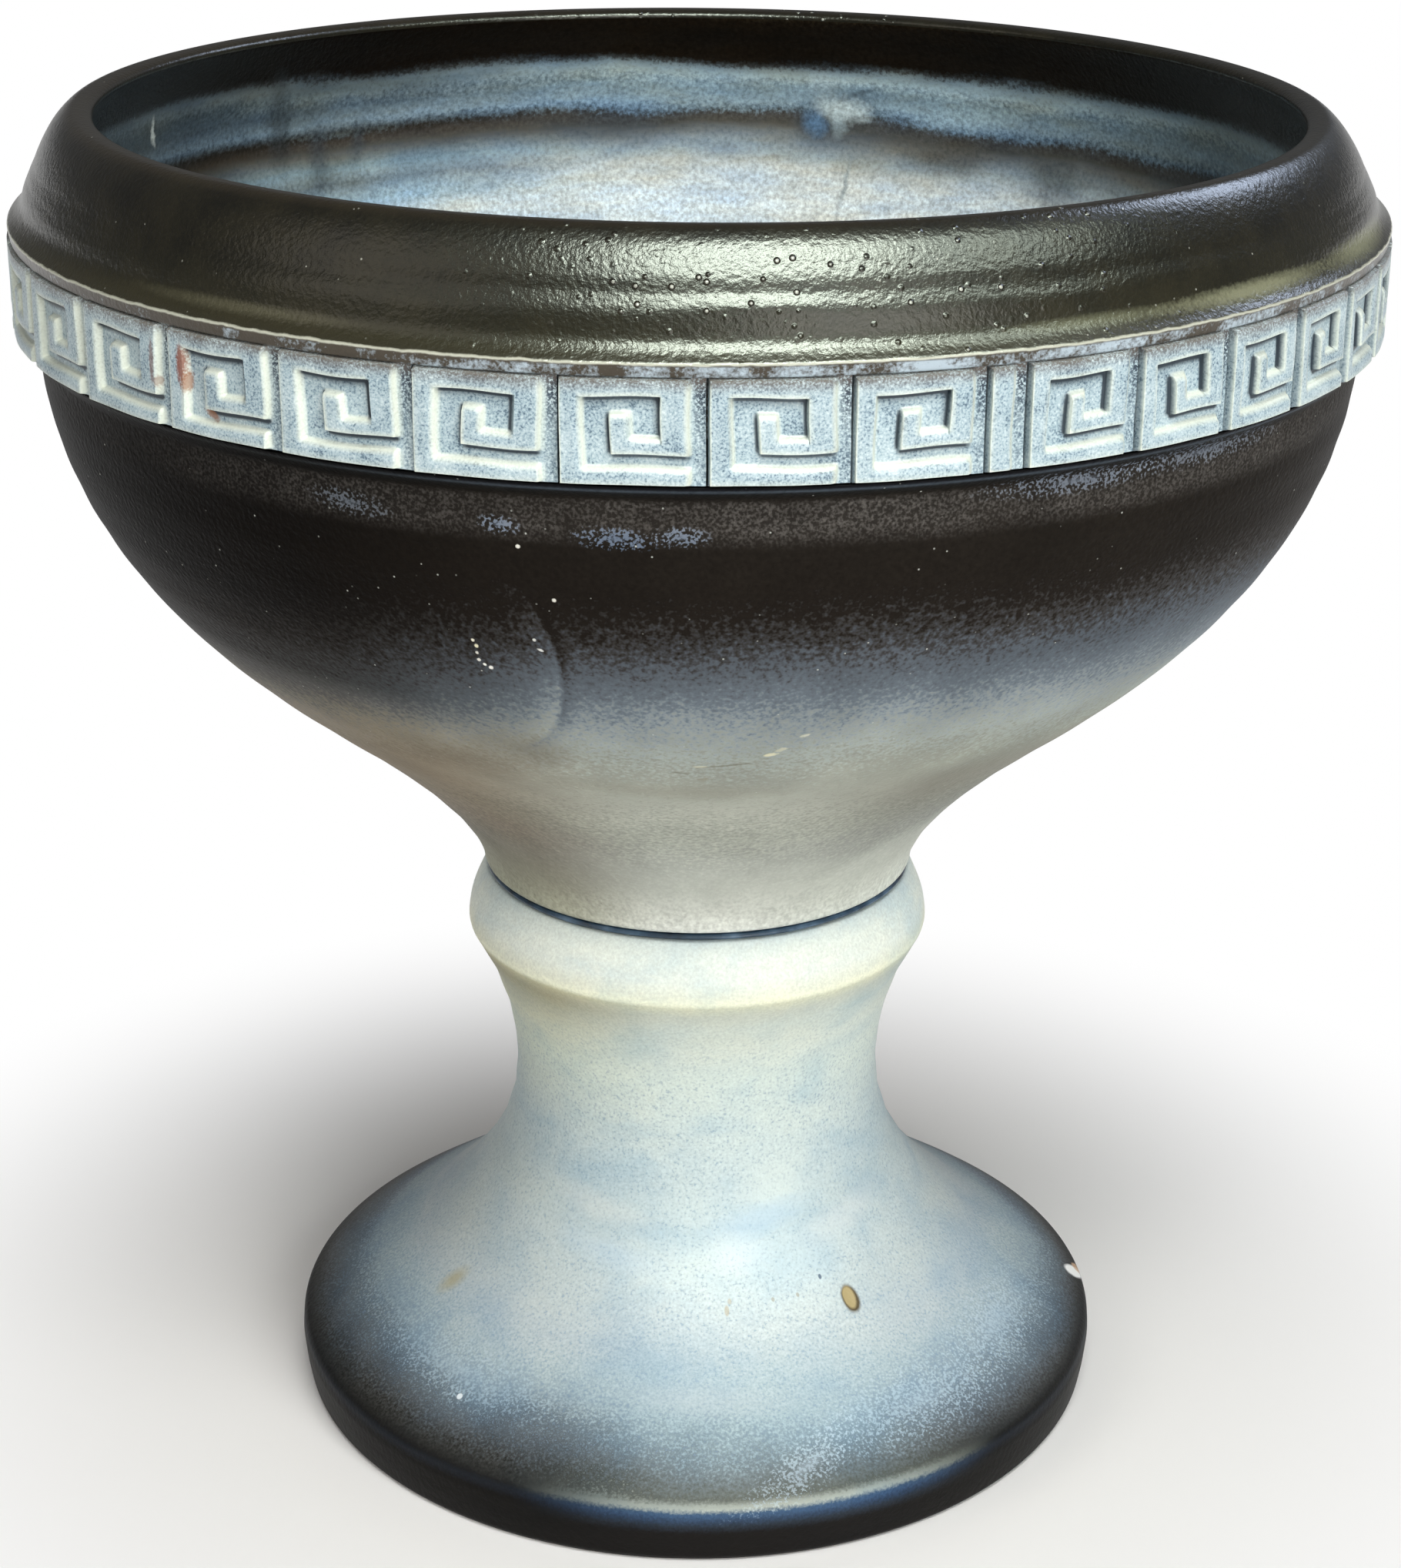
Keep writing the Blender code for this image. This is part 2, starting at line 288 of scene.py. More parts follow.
# painted shade: what is left of those colours on the viewer's left, warmed in the bowl's own shadow, and on
# the right
FLANK_LEFT_SHADE = (
    (104, "#c8c7b8"), (118, "#c9c0b8"), (126, "#cebdb4"), (134, "#c3b3a6"), (142, "#ceb9a8"),
    (150, "#e0c9b6"), (157, "#e6cfb6"), (162, "#cdbcab"), (166, "#9a9083"), (174, "#a0968a"),
    (181, "#8a8272"), (206, "#8a8272"))
FLANK_RIGHT_SHADE = (
    (104, "#f9fbf9"), (118, "#ffffff"), (126, "#dddcde"), (134, "#c5c3c1"), (142, "#d6d2cf"),
    (150, "#f3f3f0"), (157, "#ffffff"), (168, "#ffffff"), (174, "#eef0f2"), (182, "#ffffff"))
# strap border, arris, cove, shoulder and lip: black, brown where it is thin
SHOULDER_COLOURS = (
    (221.8, "#423c34"), (222.2, "#3d372f"), (223.74, "#423c33"), (223.93, "#b2b4a6"), (224.1, "#a6a898"),
    (224.28, "#2d2b1f"), (225.2, "#2a281a"), (227.5, "#1c1b12"), (233, "#12110b"), (239, "#11100b"),
    (240.3, "#15130d"), (241.2, "#262118"))
# inside: pale blue pool, a dark tide line, a blue wash and the black rim
INSIDE_COLOURS = (
    (112, "#c3d1d5"), (160, "#ccdade"), (199, "#dce9ec"), (203, "#dbe7e9"), (207, "#d3dedf"),
    (210.5, "#bdc7c7"), (213, "#97a6ab"), (215.8, "#777d7d"), (217.9, "#51524f"), (219.7, "#4b4c4b"),
    (221, "#6f8594"), (222.2, "#8aa1ad"), (225.6, "#8299a4"), (227.6, "#a0b5bb"), (229, "#879ba3"),
    (230, "#3f4446"), (231, "#18140f"), (237, "#130f0a"), (239.6, "#17120c"), (241, "#262118"))
# what is left of those colours on the viewer's left
INSIDE_LEFT = (
    (190, "#ffffff"), (203, "#f4f8fc"), (206, "#c9dfef"), (210, "#a0a8ac"), (213, "#eaf8fc"),
    (216, "#f0f0f0"), (218, "#f0e0d0"), (220, "#a08f7f"), (222, "#f0f0f4"), (225, "#b4b2b4"),
    (228.5, "#aeacaa"), (232, "#d0cccc"))
# pedestal front: black base band, blue stripe, cream arris, blue fade, milky flare, cream collar arris
FOOT_FRONT_COLOURS = (
    (0, "#100d0b"), (6.5, "#131110"), (8, "#262e38"), (9.2, "#30425a"), (10, "#3a5270"), (10.6, "#435b73"),
    (11.1, "#9da59f"), (11.7, "#8e958e"), (12.3, "#474a43"), (13.1, "#565c5a"), (14.5, "#5e676b"),
    (16, "#6a777e"), (18, "#7f929b"), (20.8, "#99adb6"), (24.4, "#a6b7bd"), (28, "#b1bec2"),
    (31.6, "#bbc6c8"), (38, "#c5d2d2"), (46, "#bdcbcc"), (51.7, "#b9c7c9"), (62.8, "#c5d1cf"),
    (73, "#cdd8d2"), (79.5, "#cdd5cd"), (85, "#c6cec6"), (88.5, "#c4c8bc"), (90.7, "#d4d5be"),
    (91.8, "#f2f3da"), (93, "#eaeddb"), (95.6, "#ecf3ea"), (99, "#edf4eb"), (102, "#d8e2de"))
FOOT_SIDE_COLOURS = (
    (0, "#0a0806"), (8.8, "#0c0a08"), (9.8, "#14171d"), (10.6, "#191d23"), (11.4, "#121110"),
    (13, "#343432"), (15, "#4f5458"), (17.5, "#616d76"), (20, "#8a9ba4"), (24.4, "#a4b3b8"),
    (28, "#afbabe"), (34, "#b4bfc0"), (40, "#b8c4c5"), (46, "#b6c3c4"), (51.7, "#b6c4c6"), (60, "#c5d1cf"))
# painted shade: what is left of them under the collar's arris on the viewer's left, browned in its shadow
FOOT_LEFT_SHADE = (
    (58, "#ffffff"), (74, "#fffdf4"), (80, "#fff9ea"), (85, "#e8dfcd"), (88, "#dcd1bc"), (90.6, "#f2ecdc"),
    (91.6, "#ffffff"))
# painted sparkle: the band under the strap where the grey mist lies, which stands partly for light caught
# by the glaze's dimpled skin
MIST_AND_SPARKLE_BAND = ((196, "#000000"), (199, "#ffffff"), (202.8, "#ffffff"), (203.8, "#000000"))
RUN_ANGLE, RUN_HEIGHT, RUN_R = -20, 176.5, 104.7     # middle of the broad run on the flank
RUN_HALF, RUN_DEEP, RUN_HIGH = 15.3, 120, 20           # half its width, its depth and half its height
FLANK_RANGE, SHOULDER_RANGE, INSIDE_RANGE, FOOT_RANGE = (100, 207), (221, 242), (110, 242), (-2, 104)
MARK_DEEP, MARK_RAGGED, MARK_EDGE = 6, 1.2, 1.6     # how deep a mark goes, its raggedness, its reach


def add_marks(add, place, ragged, colour, soft, marks):
    """Lays local stains, chips and runs over a glaze colour.  A mark is its angle in degrees, height
    and radius, half its length and height, its tilt in degrees, its colour and its strength."""
    for angle, height, radius, half_long, half_high, tilt, stain, strength in marks:
        turn = math.radians(angle)
        size = half_long * MM, MARK_DEEP * MM, half_high * MM
        spot = add("Mapping", {"Vector": place, "Rotation": (0, math.radians(tilt), turn), "Scale": size,
                               "Location": on_wall(turn, radius, height)}, vector_type="TEXTURE")
        reach = add("VectorMath", [spot], operation="LENGTH")
        edge = add("Math", [ragged, MARK_RAGGED, reach], operation="MULTIPLY_ADD")
        cover = add("MapRange", [edge, MARK_EDGE + soft, MARK_EDGE - soft, 0, strength])
        colour = add("Mix", {0: cover, 6: colour, 7: linear(stain)}, **LAID_OVER)
    return colour


# a string of white specks, fine scratches and flecks on the flank
FLANK_MARKS = (
    (-18.4, 178.9, 105.8, 0.26, 0.28, 0, "#e0dbc8", 0.95),
    (-18.2, 177.9, 105.4, 0.3, 0.3, 0, "#dcd8b8", 0.95),
    (-18.3, 176.6, 104.6, 0.24, 0.26, 0, "#d8d6cc", 0.9),
    (-18.3, 175.3, 103.9, 0.24, 0.26, 0, "#d8d6cc", 0.9),
    (-17.9, 174.5, 103.5, 0.26, 0.26, 0, "#e2e2da", 0.95),
    (-17.4, 174, 103.3, 0.34, 0.3, 0, "#e2e2da", 0.95), (-13.2, 180, 106.4, 0.26, 0.24, 0, "#d2d3cc", 0.9),
    (-12.8, 178.2, 105.4, 0.55, 0.22, 25, "#d6d7d2", 0.9), (-13.6, 195.6, 111, 0.3, 0.3, 0, "#d2d0c6", 0.9),
    (-11.2, 187.2, 109, 0.3, 0.3, 0, "#d2d0c6", 0.9), (2.4, 154.2, 87.9, 4.6, 0.22, -7, "#6f6c5c", 0.6),
    (-2.2, 152.3, 85.8, 1.6, 0.22, 14, "#6f6c5c", 0.55), (0.4, 150.5, 83.9, 0.9, 0.45, 0, "#847f6c", 0.5),
    (0, 154, 87.5, 1, 0.25, -4, "#c9c6ae", 0.6), (6.8, 156.9, 90.5, 1, 0.4, -14, "#d6d1b2", 0.8),
    (7.7, 158.1, 91.6, 0.9, 0.4, -30, "#c6c2a8", 0.6), (9.6, 161.2, 94.4, 0.7, 0.3, -20, "#cfcdb8", 0.6))
FLANK_SMEARS = (
    (-27, 150, 84.5, 16, 5, -20, "#6d6252", 0.45), (-16.5, 156, 90, 6, 3, 20, "#6f6a5e", 0.4),
    (-4, 146.5, 80, 14, 2, 4, "#8d8b7c", 0.4), (34, 139, 71, 14, 5, 25, "#77756a", 0.35))
# pale blue patches in that mist, partly painted glints
MIST_GLINT_PATCHES = (
    (-27, 199.6, 112, 4.2, 1.2, 5, "#7c8794", 0.35), (-15, 198.8, 111.8, 2, 0.9, 5, "#8795a8", 0.5),
    (-6.4, 197.6, 111.7, 3.8, 1.1, 3, "#7c8da4", 0.45), (-1.6, 198, 111.8, 2.6, 1, 0, "#8795a8", 0.45),
    (29, 202.6, 112.4, 10, 1.2, 0, "#8894a4", 0.4), (42, 203, 112.4, 12, 1.3, 0, "#8894a4", 0.35))
# a burst bubble that shows the clay, flecks round it, a chip on the arris
FOOT_MARKS = (
    (35.4, 31.6, 48.2, 1.75, 2.1, 12, "#4d4128", 1), (35.3, 31.8, 48, 1.25, 1.6, 12, "#a3946a", 1),
    (6.6, 33.2, 46.6, 0.45, 0.7, 0, "#a89f88", 0.7), (7.4, 34.4, 45.6, 0.35, 0.4, 0, "#a89f88", 0.6),
    (17.4, 34, 45.9, 0.3, 0.3, 0, "#8f8774", 0.6), (23.4, 34, 45.9, 0.3, 0.3, 0, "#8f8774", 0.6),
    (30.2, 35.6, 44.4, 0.3, 0.35, 0, "#3f5068", 0.8), (-40.2, 18, 66, 0.55, 0.32, 0, "#dfe8ec", 0.85),
    (92.5, 12.6, 74.6, 2.6, 1.5, 20, "#eef0ee", 1), (94.5, 11.6, 75.4, 1.6, 0.9, 0, "#c9a98a", 0.8))
FOOT_SMEARS = (
    (-59.8, 28, 52.2, 2.3, 1.5, -45, "#a29a76", 0.7), (24, 52, 35.2, 6, 5, 0, "#d9e0d4", 0.3),
    (17, 46, 37.8, 7, 2, -10, "#a6bfd0", 0.4), (10.6, 41, 40.5, 4.5, 2.4, 0, "#dbe7e8", 0.3),
    (-22, 40, 41, 9, 1.6, 8, "#a9bfce", 0.3), (-30, 47, 37.4, 8, 1.8, 6, "#cfd3cc", 0.3),
    (44, 43, 39.4, 8, 2, -8, "#cdd2cf", 0.3), (2, 22.5, 59.5, 12, 1.6, 2, "#b6bfc1", 0.3))
FOOT_SPATTER = (
    (16, 15, 70.5, 10, 1.7, -20, "#b4c6d2", 0.4), (38, 18.4, 65.9, 15, 3.2, 0, "#b0c6d6", 0.32),
    (64, 20.6, 62.4, 12, 3, 0, "#aec5d8", 0.3), (-44, 20.5, 62.5, 14, 2.4, 0, "#a3bdd2", 0.2))
# painted sheen: the cove lightened olive on the right, where it catches light from that side, and faintly
# on the left
COVE_SHEEN_MARKS = (
    (30, 226.4, 113.7, 12, 0.7, 0, "#6c6e56", 0.45), (46, 226.4, 113.7, 16, 1, 0, "#84866c", 0.7),
    (66, 226.4, 113.7, 14, 1.3, 0, "#84866c", 0.7), (-36, 226.4, 113.7, 16, 0.7, 0, "#5c5a46", 0.4))
# iron stains that bled into the channels of two tiles
TILE_MARKS = (
    (-41, 216.8, 115, 0.8, 2.8, 0, "#7a3a1c", 0.85), (-40.6, 214.2, 115, 0.7, 1.5, 10, "#8e5a34", 0.7),
    (-38.4, 209.9, 115, 1.5, 0.6, 25, "#8a5a36", 0.75), (-44.3, 216, 115, 0.5, 3.2, 0, "#6a3a24", 0.6),
    (-43.9, 213.2, 115, 0.6, 0.8, 0, "#7a4a2c", 0.5), (-57, 218.8, 115, 0.5, 1, 0, "#7a5238", 0.5))
# runs on the back wall: pale ones with dark edges right of the middle, dark ones on the left
INSIDE_MARKS = (
    (150, 221, 107.8, 10, 1.9, 8, "#9db4ba", 0.5), (152, 212.6, 108.4, 9, 3, 4, "#45443f", 0.65),
    (167.4, 217.9, 108.1, 3.2, 3.4, 0, "#37434e", 0.6), (167.4, 218, 108.1, 2.1, 2.3, 0, "#6486a6", 0.65),
    (164.2, 221.4, 107.7, 5.4, 3.4, -8, "#4c5961", 0.5), (164.4, 221, 107.7, 4.2, 2.2, -8, "#bccbcb", 0.85),
    (164.8, 217.9, 108, 1.4, 2.4, 0, "#97a9ae", 0.6), (166.8, 226.2, 106.5, 2.2, 2, 8, "#a2b6bf", 0.5),
    (162.2, 224.4, 107, 3.4, 0.5, 20, "#46525a", 0.6), (164, 205, 107.2, 0.5, 5, -10, "#7b898d", 0.6),
    (228.4, 224, 107, 2.6, 8, 10, "#2b3134", 0.6), (222.8, 215, 108.4, 2.2, 6, 4, "#39424a", 0.5),
    (218, 217, 108.3, 1.4, 5, -4, "#3e4850", 0.4), (140, 211, 108.4, 6, 4, 0, "#33342f", 0.55),
    (248.4, 227.6, 106, 0.5, 3, 25, "#b9bfb9", 0.8))


def bowl_flank_glaze():
    """Stoneware, dipped in iron-black glaze and sprayed from below with an opaque pale one that
    dried matt: the eye sees a fine stippled fade from black through slate blue to warm grey."""
    material, add, shader, place = new_glaze("stoneware_black_dip_sprayed_pale_matt")
    x, y, height = measures(add, place)
    # spray droplets, 0.8 mm: drawn coarser than the real 0.4 mm, which would not show at this size; and
    # the drift of the spray gun over 45 mm
    droplets = add("TexNoise", {"Vector": place, "Scale": per(0.8), "Detail": 1.5, "Roughness": 0.6})
    stipple = add("MapRange", [droplets, *NOISE, -5.5, 5.5], clamp=False)
    drift = add("TexNoise", {"Vector": place, "Scale": per(45), "Detail": 3.0, "Roughness": 0.45})
    sway = add("MapRange", [drift, *NOISE, -2.5, 2.5], clamp=False)
    loose = add("Math", [stipple, sway], operation="ADD")
    # the fade sits lower on the viewer's left, and a little lower on the right
    for begin, end, drop in ((-0.075, -0.022, 10.5), (0.085, 0.03, 4.0)):
        lean = add("MapRange", [x, begin, end, drop, 0.0])
        loose = add("Math", [loose, lean], operation="ADD")
    # a broad run left of the front, 30 mm wide: pale along its right edge, with a dark line outside it
    turn = math.radians(RUN_ANGLE)
    run = add("Mapping", {"Vector": place, "Rotation": (0, 0, turn),
                          "Scale": (RUN_HALF * MM, RUN_DEEP * MM, RUN_HIGH * MM),
                          "Location": on_wall(turn, RUN_R, RUN_HEIGHT)}, vector_type="TEXTURE")
    across = add("SeparateXYZ", [run])
    right = add("MapRange", [across.outputs["X"], 0.0, 0.5])
    reach = add("VectorMath", [run], operation="LENGTH")
    for begin, end, shift in ((0.70, 0.97, -4.0), (0.98, 1.03, 7.5), (1.04, 1.16, -3.5)):
        edge = add("MapRange", [reach, begin, end, 0.0, shift])
        loose = add("Math", [edge, right, loose], operation="MULTIPLY_ADD")
    for begin, end in ((198.0, 188.0), (106.0, 118.0)):
        settled = add("MapRange", [height, begin, end])
        loose = add("Math", [loose, settled], operation="MULTIPLY")
    level = add("Math", [height, loose], operation="ADD")
    share = add("MapRange", [level, *FLANK_RANGE])
    colour = add("ValToRGB", [share], by_height(FLANK_RANGE, FLANK_COLOURS))
    # painted shade: the flank is darkened on both sides, where less light falls
    share = add("MapRange", [height, *FLANK_RANGE])
    angle = angle_round(add, x, y)
    aside = add("Math", [angle], operation="SINE")
    for side_shades, begin, end in ((FLANK_LEFT_SHADE, -0.1, -0.64), (FLANK_RIGHT_SHADE, 0.1, 0.64)):
        side = add("MapRange", [aside, begin, end], interpolation_type="SMOOTHSTEP")
        tint = add("ValToRGB", [share], by_height(FLANK_RANGE, side_shades))
        colour = add("Mix", {0: side, 6: colour, 7: tint}, **TINTED)
    # milky clouding, 14 mm, and droplet tone
    cloud = add("TexNoise", {"Vector": place, "Scale": per(14), "Detail": 4.0, "Roughness": 0.55})
    tone = add("MapRange", [cloud, *NOISE, 0.86, 1.1])
    grain = add("MapRange", [droplets, *NOISE, 0.82, 1.18])
    tone = add("Math", [tone, grain], operation="MULTIPLY")
    colour = add("VectorMath", {0: colour, "Scale": tone}, operation="SCALE")
    # fine grey mist under the strap, 0.5 mm droplets, thickest in front and on the right; in part painted
    # sparkle, where the dimpled glaze catches the light
    mist_and_sparkle = add("ValToRGB", [share], by_height(FLANK_RANGE, MIST_AND_SPARKLE_BAND))
    mist_cloud = add("TexNoise", {"Vector": place, "Scale": per(16), "Detail": 3.0})
    mist_grain = add("TexNoise", {"Vector": place, "Scale": per(0.48), "Detail": 1.5})
    for fade in ([mist_cloud, 0.36, 0.62, 0.55, 1.0], [mist_grain, 0.42, 0.7, 0.06, 0.4],
                 [x, -0.085, -0.035, 0.2, 1.0], [x, 0.105, 0.085, 0.4, 1.0]):
        part = add("MapRange", fade)
        mist_and_sparkle = add("Math", [mist_and_sparkle, part], operation="MULTIPLY")
    colour = add("Mix", {0: mist_and_sparkle, 6: colour, 7: linear("#7f7b76")}, **LAID_OVER)
    speckle = add("MapRange", [mist_grain, 0.46, 0.62, 1.2, 0.0])
    misted_and_glinted = add_marks(add, place, speckle, colour, 0.35, MIST_GLINT_PATCHES)
    smeared = add_marks(add, place, cloud, misted_and_glinted, 0.7, FLANK_SMEARS)
    marked = add_marks(add, place, droplets, smeared, 0.3, FLANK_MARKS)
    pin_spots = pin_specks(add, place, 2.7, 0.35)
    colour = add("Mix", {0: pin_spots, 6: marked, 7: linear("#c4c6be")}, **LAID_OVER)
    feed(shader, {"Base Color": colour, "Normal": orange_peel(add, place, 0.9, 1.5, 1.0, 0.2),
                  "Roughness": 0.5, "IOR": 1.5, "Specular IOR Level": 0.03})
    return material


def bowl_shoulder_glaze():
    """Stoneware dipped in iron-black glaze, fired to a satin: the eye sees black with a broad, grainy
    sheen, brown where it thinned on lip and cove, pits and white pin specks."""
    material, add, shader, place = new_glaze("stoneware_iron_black_glaze_satin")
    x, _, height = measures(add, place)
    # the bands of colour waver by 0.1 mm over 2.5 mm
    edge = add("TexNoise", {"Vector": place, "Scale": per(2.5), "Detail": 3.0})
    edge = add("MapRange", [edge, *NOISE, -0.1, 0.1], clamp=False)
    level = add("Math", [height, edge], operation="ADD")
    share = add("MapRange", [level, *SHOULDER_RANGE])
    colour = add("ValToRGB", [share], by_height(SHOULDER_RANGE, SHOULDER_COLOURS))
    # the strap's border is blotched with pale blue in 7 mm clouds of droplets, which are drawn 0.6 mm wide
    # because the real 0.4 mm would not show; the cover grows in front as a painted highlight
    droplets = add("TexNoise", {"Vector": place, "Scale": per(0.6), "Detail": 2.0, "Roughness": 0.6})
    cloud = add("TexNoise", {"Vector": place, "Scale": per(7), "Detail": 3.0})
    patchy = add("Math", [droplets, 0.6, cloud], operation="MULTIPLY_ADD")
    blotch_and_highlight = patchy
    # painted highlight: the blotches cover more in front and less to the sides, as the light falls
    for begin, end, least, most in ((-0.08, 0.02, -0.14, 0.12), (0.06, 0.1, 0.0, -0.16)):
        front = add("MapRange", [x, begin, end, least, most])
        blotch_and_highlight = add("Math", [blotch_and_highlight, front], operation="ADD")
    blotch_and_highlight = add("MapRange", [blotch_and_highlight, 0.76, 1.0])
    border = add("MapRange", [height, 223.8, 223.5])
    blotch_and_highlight = add("Math", [blotch_and_highlight, border], operation="MULTIPLY")
    # faint iron mottling, olive brown, in the same clouds and droplets
    mottle = add("MapRange", [patchy, 0.6, 1.05, 0.0, 0.3])
    above = add("MapRange", [height, 224.2, 225.0])
    mottle = add("Math", [mottle, above], operation="MULTIPLY")
    colour = add("Mix", {0: mottle, 6: colour, 7: linear("#332f20")}, **LAID_OVER)
    colour = add("Mix", {0: blotch_and_highlight, 6: colour, 7: linear("#a3b1ba")}, **LAID_OVER)
    pin_spots = pin_specks(add, place, 2.8, 0.4)
    # painted sheen on the cove
    marked = add_marks(add, place, droplets, colour, 0.6, COVE_SHEEN_MARKS)
    colour = add("Mix", {0: pin_spots, 6: marked, 7: linear("#b6b8ac")}, **LAID_OVER)
    # orange peel of 0.9 mm; blisters of 1 mm and less where the glaze boiled, mostly in front, with a
    # painted highlight on top
    peel = add("TexNoise", {"Vector": place, "Scale": per(0.9), "Detail": 2.0, "Roughness": 0.6})
    blisters = add("TexVoronoi", {"Vector": place, "Scale": per(2.1)})
    blister = add("MapRange", [blisters.outputs["Distance"], 0.27, 0.06], interpolation_type="SMOOTHSTEP")
    boiled = add("TexNoise", {"Vector": place, "Scale": per(16), "Detail": 2.0})
    for fade in ([boiled, 0.36, 0.5], [blisters.outputs["Color"], 0.34, 0.5], [x, -0.045, 0.0],
                 [x, 0.075, 0.045]):
        part = add("MapRange", fade)
        blister = add("Math", [blister, part], operation="MULTIPLY")
    surface = add("Math", [blister, 2.2, peel], operation="MULTIPLY_ADD")
    # painted highlight on the blisters' tops
    top = add("MapRange", [blister, 0.5, 0.9, 0.0, 0.7])
    colour = add("Mix", {0: top, 6: colour, 7: linear("#c2c5b8")}, **LAID_OVER)
    bump = add("Bump", {"Height": surface, "Strength": 1.0, "Distance": 0.115 * MM})
    feed(shader, {"Base Color": colour, "Normal": bump, "Roughness": 0.29, "IOR": 1.5,
                  "Specular Tint": linear("#bdbdb6")})
    return material


def bowl_inside_glaze():
    """Stoneware washed inside with milky blue over black: the eye sees soft level bands, a dark tide
    line and a few runs, under a satin gloss."""
    material, add, shader, place = new_glaze("stoneware_milky_blue_wash_inside")
    x, y, height = measures(add, place)
    # spray droplets, 0.8 mm: drawn coarser than the real 0.4 mm, to show
    droplets = add("TexNoise", {"Vector": place, "Scale": per(0.8), "Detail": 2.0, "Roughness": 0.6})
    edge_grain = add("MapRange", [droplets, *NOISE, -0.6, 0.6], clamp=False)
    # washes lie level: 55 mm long, 14 mm high
    level_place = add("Mapping", {"Vector": place, "Scale": (1, 1, 4)})
    wash = add("TexNoise", {"Vector": level_place, "Scale": per(55), "Detail": 4.0, "Roughness": 0.5,
                            "Distortion": 0.4})
    wash_shift = add("MapRange", [wash, *NOISE, -1.3, 1.3], clamp=False)
    # to the viewer's right the tide line drops, and the wash stops lower on the right than on the left
    right = add("MapRange", [x, 0.01, 0.08, 0.0, 3.0])
    below = add("MapRange", [height, 230.0, 223.0])
    tilt = add("Math", [right, below], operation="MULTIPLY")
    brim = add("MapRange", [x, -0.03, 0.012, -2.1, 1.6])
    above = add("MapRange", [height, 224.0, 230.0])
    tilt = add("Math", [brim, above, tilt], operation="MULTIPLY_ADD")
    level = height
    for shift in (wash_shift, edge_grain, tilt):
        level = add("Math", [level, shift], operation="ADD")
    share = add("MapRange", [level, *INSIDE_RANGE])
    colour = add("ValToRGB", [share], by_height(INSIDE_RANGE, INSIDE_COLOURS))
    cloud = add("TexNoise", {"Vector": level_place, "Scale": per(18), "Detail": 5.0, "Roughness": 0.6})
    tone = add("MapRange", [cloud, *NOISE, 0.8, 1.15])
    colour = add("VectorMath", {0: colour, "Scale": tone}, operation="SCALE")
    # blue and brownish clouds in the wash, 22 mm long and 5.5 mm high
    tint = add("TexNoise", {"Vector": level_place, "Scale": per(22), "Detail": 4.0, "Roughness": 0.6,
                            "W": 3.0}, noise_dimensions="4D")
    tint = add("ValToRGB", [tint], [(0.36, "#e3ebf7"), (0.5, "#fbfbfb"), (0.64, "#f9f0e4")])
    colour = add("Mix", {0: 1.0, 6: colour, 7: tint}, **TINTED)
    # painted shade: the side and near walls are darkened where the front light only glances; the far wall
    # and the floor keep their colour
    wall_shade = add("MapRange", [y, 0.05, 0.092, 0.42, 1.0])
    pool = add("MapRange", [height, 190.0, 206.0, 1.0, 0.0])
    wall_shade = add("Math", [wall_shade, pool], operation="MAXIMUM")
    colour = add("VectorMath", {0: colour, "Scale": wall_shade}, operation="SCALE")
    # it is thinner to the viewer's left, in level bands
    plain_share = add("MapRange", [height, *INSIDE_RANGE])
    left = add("MapRange", [x, -0.012, -0.055])
    tint = add("ValToRGB", [plain_share], by_height(INSIDE_RANGE, INSIDE_LEFT))
    colour = add("Mix", {0: left, 6: colour, 7: tint}, **TINTED)
    # runs wander: their places are stirred by 3 mm over 4 mm
    stir = add("TexNoise", {"Vector": place, "Scale": per(4), "Detail": 4.0, "Roughness": 0.6})
    back = add("VectorMath", [place, (-1.5 * MM,) * 3], operation="ADD")
    stirred = add("VectorMath", [stir.outputs["Color"], (3 * MM,) * 3, back], operation="MULTIPLY_ADD")
    marked = add_marks(add, stirred, stir, colour, 0.55, INSIDE_MARKS)
    grain = add("MapRange", [droplets, *NOISE, 0.68, 1.34])
    colour = add("VectorMath", {0: marked, "Scale": grain}, operation="SCALE")
    feed(shader, {"Base Color": colour, "Normal": orange_peel(add, place, 0.9, 2.0, 0.9, 0.15),
                  "Roughness": 0.32, "IOR": 1.5, "Specular IOR Level": 0.05,
                  "Specular Tint": linear("#b4a68c")})
    return material


